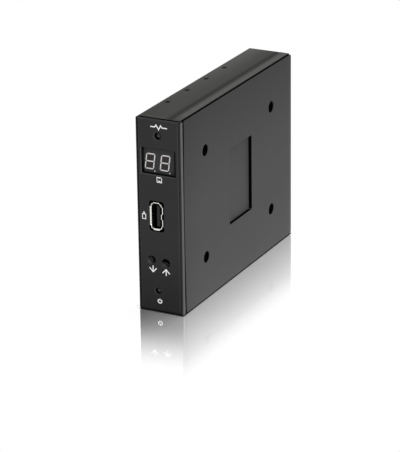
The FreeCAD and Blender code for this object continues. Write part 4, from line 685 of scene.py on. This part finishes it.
def arrow(name, middle, way):
    """An arrow in one outline: two arms that fall from the tip at the slope of the arm and a shaft
    between them. A stroke's sides lie half its width to each side, along the arm's normal."""
    arm = np.array([ARROW_ARM[0], -ARROW_ARM[1]])
    arm_end = np.array([0, ARROW_TIP]) + arm
    slope = arm / np.linalg.norm(arm)
    half = INK_WIDTH / 2
    aside = np.array([-slope[1], slope[0]]) * half
    rise = half / slope[0]
    inner = ARROW_TIP - rise + half * slope[1] / slope[0]
    right = [(0, ARROW_TIP + rise), arm_end + aside, arm_end - aside]
    right += [(half, inner), (half, -ARROW_TAIL)]
    outline = np.array(right + [(-a, b) for a, b in right[:0:-1]]) * (1, way) + middle
    rings = np.empty((2, len(outline), 3))
    rings[:, :, 0] = outline[:, 0]
    rings[:, :, 1] = [[plate_face - INK_PROUD], [plate_face + INK_SUNK]]
    rings[:, :, 2] = outline[:, 1]
    piece(name, rings / 1000, False, white_ink, "chassis")


def arc(radius, start, end, steps):
    """Points round the middle, at angles in degrees that run anticlockwise from +X."""
    angle = np.radians(np.linspace(start, end, steps))
    return np.stack([radius * np.cos(angle), radius * np.sin(angle)], -1)


white_ink = bpy.data.materials.new("white_ink")
skin = Surface(white_ink)
film = skin.shades(skin.noise(INK_LUMPS, detail=3.0), *INK_TINTS)
rub = skin.wander(INK_RUB_LUMPS, INK_SATIN, INK_ROUGHNESS)
finish = skin.node("ShaderNodeBsdfPrincipled", {}, {"Base Color": film, "Roughness": rub})
skin.node("ShaderNodeOutputMaterial", {}, {"Surface": finish})

arrow("arrow_down", ARROW_DOWN_MIDDLE, -1)
arrow("arrow_up", ARROW_UP_MIDDLE, 1)

pulse = [(-4.6, 0), (-2.2, 0), (-1.4, 1.1), (0.0, -1.1), (1.1, 1.0), (1.8, 0), (4.6, 0)]
ink("activity_sign", ACTIVITY_MIDDLE, pulse)

disk = [(-1.3, -1.3), (1.3, -1.3), (1.3, 0.8), (0.8, 1.3), (-1.3, 1.3)]
ink("disk_sign_rim", DISK_MIDDLE, disk, closed=True, width=DISK_WIDTH)
ink("disk_sign_label", DISK_MIDDLE, [(-0.7, -0.65), (0.7, -0.65)], width=0.55)
ink("disk_sign_shutter", DISK_MIDDLE, [(-0.5, 0.95), (0.4, 0.95)], width=DISK_WIDTH)

plug = [(-0.9, -1.6), (0.9, -1.6), (0.9, 0.9), (-0.9, 0.9)]
ink("plug_sign_rim", PLUG_MIDDLE, plug, closed=True, width=PLUG_WIDTH)
ink("plug_sign_blade", PLUG_MIDDLE, [(0, 1.1), (0, 2.1)], width=0.75)

ink("power_sign_ring", POWER_MIDDLE, arc(1.05, 125, 415, 24), width=POWER_WIDTH)
ink("power_sign_bar", POWER_MIDDLE, [(0, 0.15), (0, 1.35)], width=POWER_WIDTH)


# ---------------------------------------------------------------------------
# The screws: blackened steel pan heads, deep in the lid's wells and on the
# main board's two ears.

METAL_DARKER = 0.86
METAL_LIGHTER = 1.1
METAL_FINENESS = 8
METAL_CLOUD_SATIN = 0.12
METAL_FINE_SATIN = 0.10
METAL_WEAR = 0.00002
METAL_WEAR_STRENGTH = 0.15
METAL_BLACK = (0.004, 0.004, 0.004, 1.0)


def metal(name, tint, roughness, lumps, painted_shade_at=None):
    """Bare or plated metal: a cloudy tint and a roughness that wanders with it, with lumps of this
    many millimetres. Its inside, given by a function of the place, goes over to black as painted
    shade."""
    material = bpy.data.materials.new(name)
    skin = Surface(material)
    cloud = skin.noise(lumps, detail=3.0)
    fine = skin.noise(lumps / METAL_FINENESS)
    light = [min(c * METAL_LIGHTER, 1.0) for c in tint]
    shown = skin.shades(cloud, [c * METAL_DARKER for c in tint], light)
    sheen = (cloud - 0.5) * METAL_CLOUD_SATIN + (fine - 0.5) * METAL_FINE_SATIN + roughness
    wear = {"Strength": METAL_WEAR_STRENGTH, "Distance": METAL_WEAR, "Height": fine}
    finish = skin.node("ShaderNodeBsdfPrincipled", {}, {
        "Base Color": shown, "Metallic": 1.0, "Roughness": sheen,
        "Normal": skin.node("ShaderNodeBump", {}, wear),
    })
    if painted_shade_at:
        # Painted shade: black inside, where the painted shade function gives 1.
        painted_shade_black = skin.node("ShaderNodeBsdfDiffuse", {}, {"Color": METAL_BLACK})
        deep = painted_shade_at(*skin.place())
        finish = skin.node("ShaderNodeMixShader", {}, {0: deep, 1: finish, 2: painted_shade_black})
    skin.node("ShaderNodeOutputMaterial", {}, {"Surface": finish})
    return material


dress(metal("screw_steel", (0.10, 0.10, 0.11), roughness=0.42, lumps=1.5),
      "cover_screws", "board_screws")


# ---------------------------------------------------------------------------
# The boards: glass-epoxy sheet under green solder mask, with copper that shows
# through it as a paler green and the bare laminate at the cut edges.

MASK_TINTS = ((0.010, 0.075, 0.028), (0.022, 0.135, 0.050))
LAMINATE_TINTS = ((0.045, 0.042, 0.018), (0.075, 0.070, 0.034))
LAMINATE_LUMPS = 0.4
COPPER_LUMPS = 6.0
COPPER_FROM = (0.42, 0.55)
COPPER_HEIGHT = 0.00004
COPPER_STRENGTH = 0.3
CUT_FACING = (0.4, 0.6)
MASK_ROUGHNESS = 0.28
CUT_ROUGHER = 0.35


def board(name, across):
    """Solder mask on the two faces, which lie across this axis, and laminate on the edges. Copper
    fills the long bricks of a stretched brick pattern wherever soft noise is high, with thin gaps
    between them, and the mask is paler over it."""
    material = bpy.data.materials.new(name)
    skin = Surface(material)
    part = skin.place()
    faces = skin.facing()
    flat = [part[i] for i in range(3) if i != across]
    spot = skin.node("ShaderNodeCombineXYZ", {}, {0: flat[0], 1: flat[1], 2: 0.0})
    lines = skin.node("ShaderNodeTexBrick", {"offset": 0.37, "squash": 1.6}, {
        "Vector": spot, "Color1": (1, 1, 1, 1), "Color2": (1, 1, 1, 1), "Mortar": (0, 0, 0, 1),
        "Scale": 0.35, "Mortar Size": 0.03, "Brick Width": 2.2, "Row Height": 0.55,
    }, "Fac")
    copper = (1.0 - lines) * skin.noise(COPPER_LUMPS).rise(*COPPER_FROM)
    mask = skin.shades(copper, *MASK_TINTS)
    laminate = skin.shades(skin.noise(LAMINATE_LUMPS, detail=3.0), *LAMINATE_TINTS)
    cut = 1.0 - abs(faces[across]).rise(*CUT_FACING)
    relief = {"Strength": COPPER_STRENGTH, "Distance": COPPER_HEIGHT, "Height": copper}
    finish = skin.node("ShaderNodeBsdfPrincipled", {}, {
        "Base Color": skin.blend(cut, mask, laminate),
        "Roughness": cut * CUT_ROUGHER + MASK_ROUGHNESS,
        "Normal": skin.node("ShaderNodeBump", {}, relief),
    })
    skin.node("ShaderNodeOutputMaterial", {}, {"Surface": finish})
    return material


dress(board("main_board_mask", across=0), "main_board")
dress(board("front_board_mask", across=1), "front_board")


# ---------------------------------------------------------------------------
# The display: two seven-segment digits in one moulded block. Its face is
# printed near black, and its translucent segments are lit white.

DISPLAY_INK_DEPTH = 1.6
DISPLAY_INK_TINTS = ((0.022, 0.022, 0.0225), (0.028, 0.028, 0.0285))
DISPLAY_INK_LUMPS = 0.5
DISPLAY_CASE_TINTS = ((0.50, 0.50, 0.49), (0.60, 0.60, 0.58))
DISPLAY_CASE_LUMPS = 1.5
DISPLAY_RUB_LUMPS = 0.8
DISPLAY_SATIN = 0.1
DISPLAY_ROUGHNESS = 0.42
DISPLAY_GLOSS = 0.2
DIGIT_WARM_TINT = (0.022, 0.0168, 0.0165, 1.0)
DIGITS_X = -1.7
DIGITS_Z = 78.6
DIGIT_ASIDE = 4.15
DIGIT_HALF_WIDTH = (1.7, 2.1)
DIGIT_HALF_HEIGHT = (3.3, 3.7)
DIGIT_SLANT = math.tan(math.radians(7.5))
SEGMENT_TINTS = ((0.46, 0.45, 0.447), (0.56, 0.55, 0.547))
SEGMENT_LUMPS = 0.7
SEGMENT_ROUGHNESS = 0.4
SEGMENT_GLOW = ((0.86, 0.85, 0.86), (0.97, 0.96, 0.97))
SEGMENT_GLOW_STRENGTH = 0.12

display_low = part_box("display_body")[0]
material = bpy.data.materials.new("display_face")
skin = Surface(material)
x, y, z = skin.place()
in_front = y < display_low.y * 1000 + DISPLAY_INK_DEPTH
upright_x = x - (z - DIGITS_Z) * DIGIT_SLANT
beside = abs(abs(upright_x - DIGITS_X) - DIGIT_ASIDE).rise(*DIGIT_HALF_WIDTH)
above = abs(z - DIGITS_Z).rise(*DIGIT_HALF_HEIGHT)
warm = 1.0 - beside.at_least(above)
black = skin.shades(skin.noise(DISPLAY_INK_LUMPS), *DISPLAY_INK_TINTS)
printed = skin.blend(warm, black, DIGIT_WARM_TINT)
case = skin.shades(skin.noise(DISPLAY_CASE_LUMPS), *DISPLAY_CASE_TINTS)
finish = skin.node("ShaderNodeBsdfPrincipled", {}, {
    "Base Color": skin.blend(in_front, case, printed), "Specular IOR Level": DISPLAY_GLOSS,
    "Roughness": skin.wander(DISPLAY_RUB_LUMPS, DISPLAY_SATIN, DISPLAY_ROUGHNESS),
})
skin.node("ShaderNodeOutputMaterial", {}, {"Surface": finish})
dress(material, "display_body")

material = bpy.data.materials.new("segment_white")
skin = Surface(material)
cloud = skin.noise(SEGMENT_LUMPS)
finish = skin.node("ShaderNodeBsdfPrincipled", {}, {
    "Base Color": skin.shades(cloud, *SEGMENT_TINTS), "Roughness": SEGMENT_ROUGHNESS,
    "Emission Color": skin.shades(cloud, *SEGMENT_GLOW),
    "Emission Strength": SEGMENT_GLOW_STRENGTH,
})
skin.node("ShaderNodeOutputMaterial", {}, {"Surface": finish})
dress(material, "display_segments")


# ---------------------------------------------------------------------------
# The lamps: two round diodes in smoky clear epoxy behind the plate, each on a
# black spacer sleeve, with tinned leads to the front board.

PLAIN_FINENESS = 5
PLAIN_SATIN = 0.12
PLAIN_WAVES = 0.00003
PLAIN_WAVES_STRENGTH = 0.12
TIN_TINT = (0.62, 0.61, 0.58)


def plain(name, dark, light, lumps, roughness, gloss=0.5):
    """A smooth moulded or cast finish that wanders between two close tints, in lumps of this many
    millimetres, over faint waves."""
    material = bpy.data.materials.new(name)
    skin = Surface(material)
    cloud = skin.noise(lumps, detail=3.0)
    waves = {"Strength": PLAIN_WAVES_STRENGTH, "Distance": PLAIN_WAVES, "Height": cloud}
    finish = skin.node("ShaderNodeBsdfPrincipled", {}, {
        "Base Color": skin.shades(cloud, dark, light), "Specular IOR Level": gloss,
        "Roughness": skin.wander(lumps / PLAIN_FINENESS, PLAIN_SATIN, roughness),
        "Normal": skin.node("ShaderNodeBump", {}, waves),
    })
    skin.node("ShaderNodeOutputMaterial", {}, {"Surface": finish})
    return material


dress(plain("lamp_lens", (0.030, 0.032, 0.030), (0.060, 0.062, 0.060),
            lumps=1.2, roughness=0.34, gloss=0.3), "busy_lamp", "power_lamp")
dress(plain("spacer_plastic", (0.030, 0.030, 0.030), (0.044, 0.044, 0.043),
            lumps=1.5, roughness=0.5), "busy_lamp_spacer", "power_lamp_spacer")
dress(metal("tinned_pin", TIN_TINT, roughness=0.34, lumps=0.8), "lamp_leads", "display_pins",
      "switch_legs", "controller_pins", "buffer_pins", "power_pins")


# ---------------------------------------------------------------------------
# The buttons: two push switches on the front board, each a black case under a
# steel sheet, whose round dark plungers stand back in the plate's holes.

PLUNGER_TINT = (0.006, 0.006, 0.0062)
PLUNGER_EDGE = (0.008, 0.008, 0.0083)
PLUNGER_REACH = 3.0
PLUNGER_BLUR = 0.4
PLUNGER_LEVEL = 0.3
PLUNGER_PAINTED_LIGHT = 15.0
# For each plunger its middle, the way towards the side in painted shade, and how far the shade's
# edge lies the other way from the middle.
PLUNGER_SHADES = ((DOWN_BUTTON, (0.85, 0.5), 0.5), (UP_BUTTON, (0.4, 0.9), 0.8))


def plunger_shares(x, z, side):
    """1 past the edge of the plungers' painted shade, with a soft rise there: on their shaded side
    where side is 1 and on their painted lit side where it is -1."""
    shares = []
    for middle, way, back in PLUNGER_SHADES:
        past = (x - middle[0]) * way[0] + (z - middle[1]) * way[1] + back
        near = abs(x - middle[0]) < PLUNGER_REACH
        shares.append((past * side).rise(0.0, PLUNGER_BLUR) * near)
    return shares[0] + shares[1]


def plunger_painted_shade(x, y, z):
    """Painted shade, black: the side of each plunger that its hole's rim shades."""
    return plunger_shares(x, z, 1.0)


def plunger_painted_light(x, y, z):
    """Painted light on a plunger: lighter on the side that the rim doesn't shade, below and to the
    left.
    """
    return [plunger_shares(x, z, -1.0) * PLUNGER_PAINTED_LIGHT + PLUNGER_LEVEL] * 3


dress(plain("switch_plastic", (0.016, 0.016, 0.016), (0.024, 0.024, 0.024),
            lumps=1.0, roughness=0.5), "down_switch_body", "up_switch_body")
dress(metal("sheet_steel", (0.55, 0.55, 0.54), roughness=0.30, lumps=1.4),
      "down_switch_cover", "up_switch_cover", "crystal")
dress(moulding("plunger_plastic", PLUNGER_TINT, PLUNGER_EDGE, gloss=0.15, roughness=0.55,
               grain=0.18, painted_shade_at=plunger_painted_shade, painted_light_at=plunger_painted_light), "down_button", "up_button")


# ---------------------------------------------------------------------------
# The USB socket: a nickel-plated steel shell with its mouth's lips folded out,
# a black tongue inside and four gold-plated contacts on it. A thin near-black
# sheet closes the space round the shell, between the plate and the board, as painted shade.

SOCKET_MIDDLE = (-1.85, 50.9)
SHELL_HALF = (2.93, 6.58)
MOUTH_DEPTH = 0.35
SHADE_SHEET_OUTER = {"width": 9.6, "height": 17.4, "radius": 2.2}
SHADE_SHEET_INNER = {"width": 5.95, "height": 13.25, "radius": 0.9}
SHADE_SHEET_FRONT = -61.05
SHADE_SHEET_BACK = -60.4
CORNER_POINTS = 7
shell_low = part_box("usb_shell")[0]


def mouth_painted_shade(x, y, z):
    """Painted shade, black: the inside of the shell, behind its lips."""
    across = abs(x - SOCKET_MIDDLE[0]) < SHELL_HALF[0]
    along = abs(z - SOCKET_MIDDLE[1]) < SHELL_HALF[1]
    return across * along * (y > shell_low.y * 1000 + MOUTH_DEPTH)


def rounded_rim(width, height, radius):
    """The rim of a rectangle with round corners round the socket's middle: a quarter arc of the
    radius about each corner's own middle."""
    reach = np.array([width / 2 - radius, height / 2 - radius])
    quarters = []
    for turn, side in enumerate([(1, 1), (-1, 1), (-1, -1), (1, -1)]):
        quarter = arc(radius, turn * 90, turn * 90 + 90, CORNER_POINTS)
        quarters.append(quarter + reach * side)
    return np.concatenate(quarters) + SOCKET_MIDDLE


# Painted shade: a near-black sheet fills the gap round the shell.
shade_sheet_rings = strip(rounded_rim(**SHADE_SHEET_OUTER), rounded_rim(**SHADE_SHEET_INNER), SHADE_SHEET_FRONT, SHADE_SHEET_BACK)
shade_sheet_black = plain("shade_sheet_black", (0.004, 0.004, 0.004), (0.009, 0.009, 0.009),
                  lumps=0.4, roughness=0.85, gloss=0.1)
piece("socket_shade_sheet", shade_sheet_rings, True, shade_sheet_black, "chassis")

dress(metal("socket_shell", (0.80, 0.79, 0.75), roughness=0.24, lumps=1.8, painted_shade_at=mouth_painted_shade),
      "usb_shell")
dress(plain("tongue_plastic", (0.008, 0.008, 0.008), (0.013, 0.013, 0.013),
            lumps=1.4, roughness=0.5, gloss=0.25), "usb_tongue")
dress(plain("connector_plastic", (0.014, 0.014, 0.015), (0.022, 0.022, 0.023),
            lumps=1.4, roughness=0.45, gloss=0.4), "floppy_header", "jumper_block", "link_header")
dress(metal("gold_contact", (0.86, 0.62, 0.26), roughness=0.26, lumps=0.9),
      "usb_contacts", "floppy_header_pins", "jumper_pins", "link_pins")


# ---------------------------------------------------------------------------
# The rear connectors: the boxed 34-pin header and the jumper block share the
# black plastic above, the shunt is a smoother black cap and the power socket
# natural nylon.

dress(plain("shunt_plastic", (0.018, 0.018, 0.020), (0.028, 0.028, 0.030),
            lumps=1.0, roughness=0.38), "jumper_shunt")
dress(plain("natural_plastic", (0.66, 0.62, 0.50), (0.74, 0.70, 0.58),
            lumps=2.2, roughness=0.42), "power_socket")


# ---------------------------------------------------------------------------
# The parts on the main board: chips cast in black epoxy, two aluminium can
# capacitors on black bases, and chip resistors with tinned ends.

CAN_TINTS = ((0.66, 0.66, 0.65), (0.78, 0.78, 0.77))
CAN_LUMPS = 1.0
CAN_ROUGHNESS = 0.3
CAN_BASE_HEIGHT = 0.9
CAN_MARK_DEPTH = 0.4
CAN_MARK_Y = 1.3
CAN_BLACK = (0.02, 0.02, 0.022, 1.0)
CAN_BLACK_ROUGHER = 0.2
GLAZE_TINTS = ((0.015, 0.015, 0.016), (0.03, 0.03, 0.032))
GLAZE_LUMPS = 0.5
GLAZE_ROUGHNESS = 0.4
GLAZE_HALF_LENGTH = 0.6
GLAZE_BLUR = 0.05
TIN_SMOOTHER = 0.08

dress(plain("chip_epoxy", (0.020, 0.020, 0.020), (0.034, 0.034, 0.034),
            lumps=0.5, roughness=0.62, gloss=0.3), "controller", "buffers", "regulator")

can_low, can_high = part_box("capacitors")
material = bpy.data.materials.new("capacitor_can")
skin = Surface(material)
x, y, z = skin.place()
base = x < can_low.x * 1000 + CAN_BASE_HEIGHT
rear_of_middle = y - (can_low.y + can_high.y) / 2 * 1000
mark = (x > can_high.x * 1000 - CAN_MARK_DEPTH) * (rear_of_middle > CAN_MARK_Y)
dark = base.at_least(mark)
can = skin.shades(skin.noise(CAN_LUMPS, detail=3.0), *CAN_TINTS)
finish = skin.node("ShaderNodeBsdfPrincipled", {}, {
    "Base Color": skin.blend(dark, can, CAN_BLACK),
    "Metallic": 1.0 - dark, "Roughness": dark * CAN_BLACK_ROUGHER + CAN_ROUGHNESS,
})
skin.node("ShaderNodeOutputMaterial", {}, {"Surface": finish})
dress(material, "capacitors")

resistor_low, resistor_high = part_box("resistors")
material = bpy.data.materials.new("resistor_body")
skin = Surface(material)
x, y, z = skin.place()
from_middle = abs(y - (resistor_low.y + resistor_high.y) / 2 * 1000)
tinned = (from_middle - GLAZE_HALF_LENGTH).rise(0.0, GLAZE_BLUR)
glaze = skin.shades(skin.noise(GLAZE_LUMPS), *GLAZE_TINTS)
finish = skin.node("ShaderNodeBsdfPrincipled", {}, {
    "Base Color": skin.blend(tinned, glaze, (*TIN_TINT, 1.0)),
    "Metallic": tinned, "Roughness": GLAZE_ROUGHNESS - tinned * TIN_SMOOTHER,
})
skin.node("ShaderNodeOutputMaterial", {}, {"Surface": finish})
dress(material, "resistors")
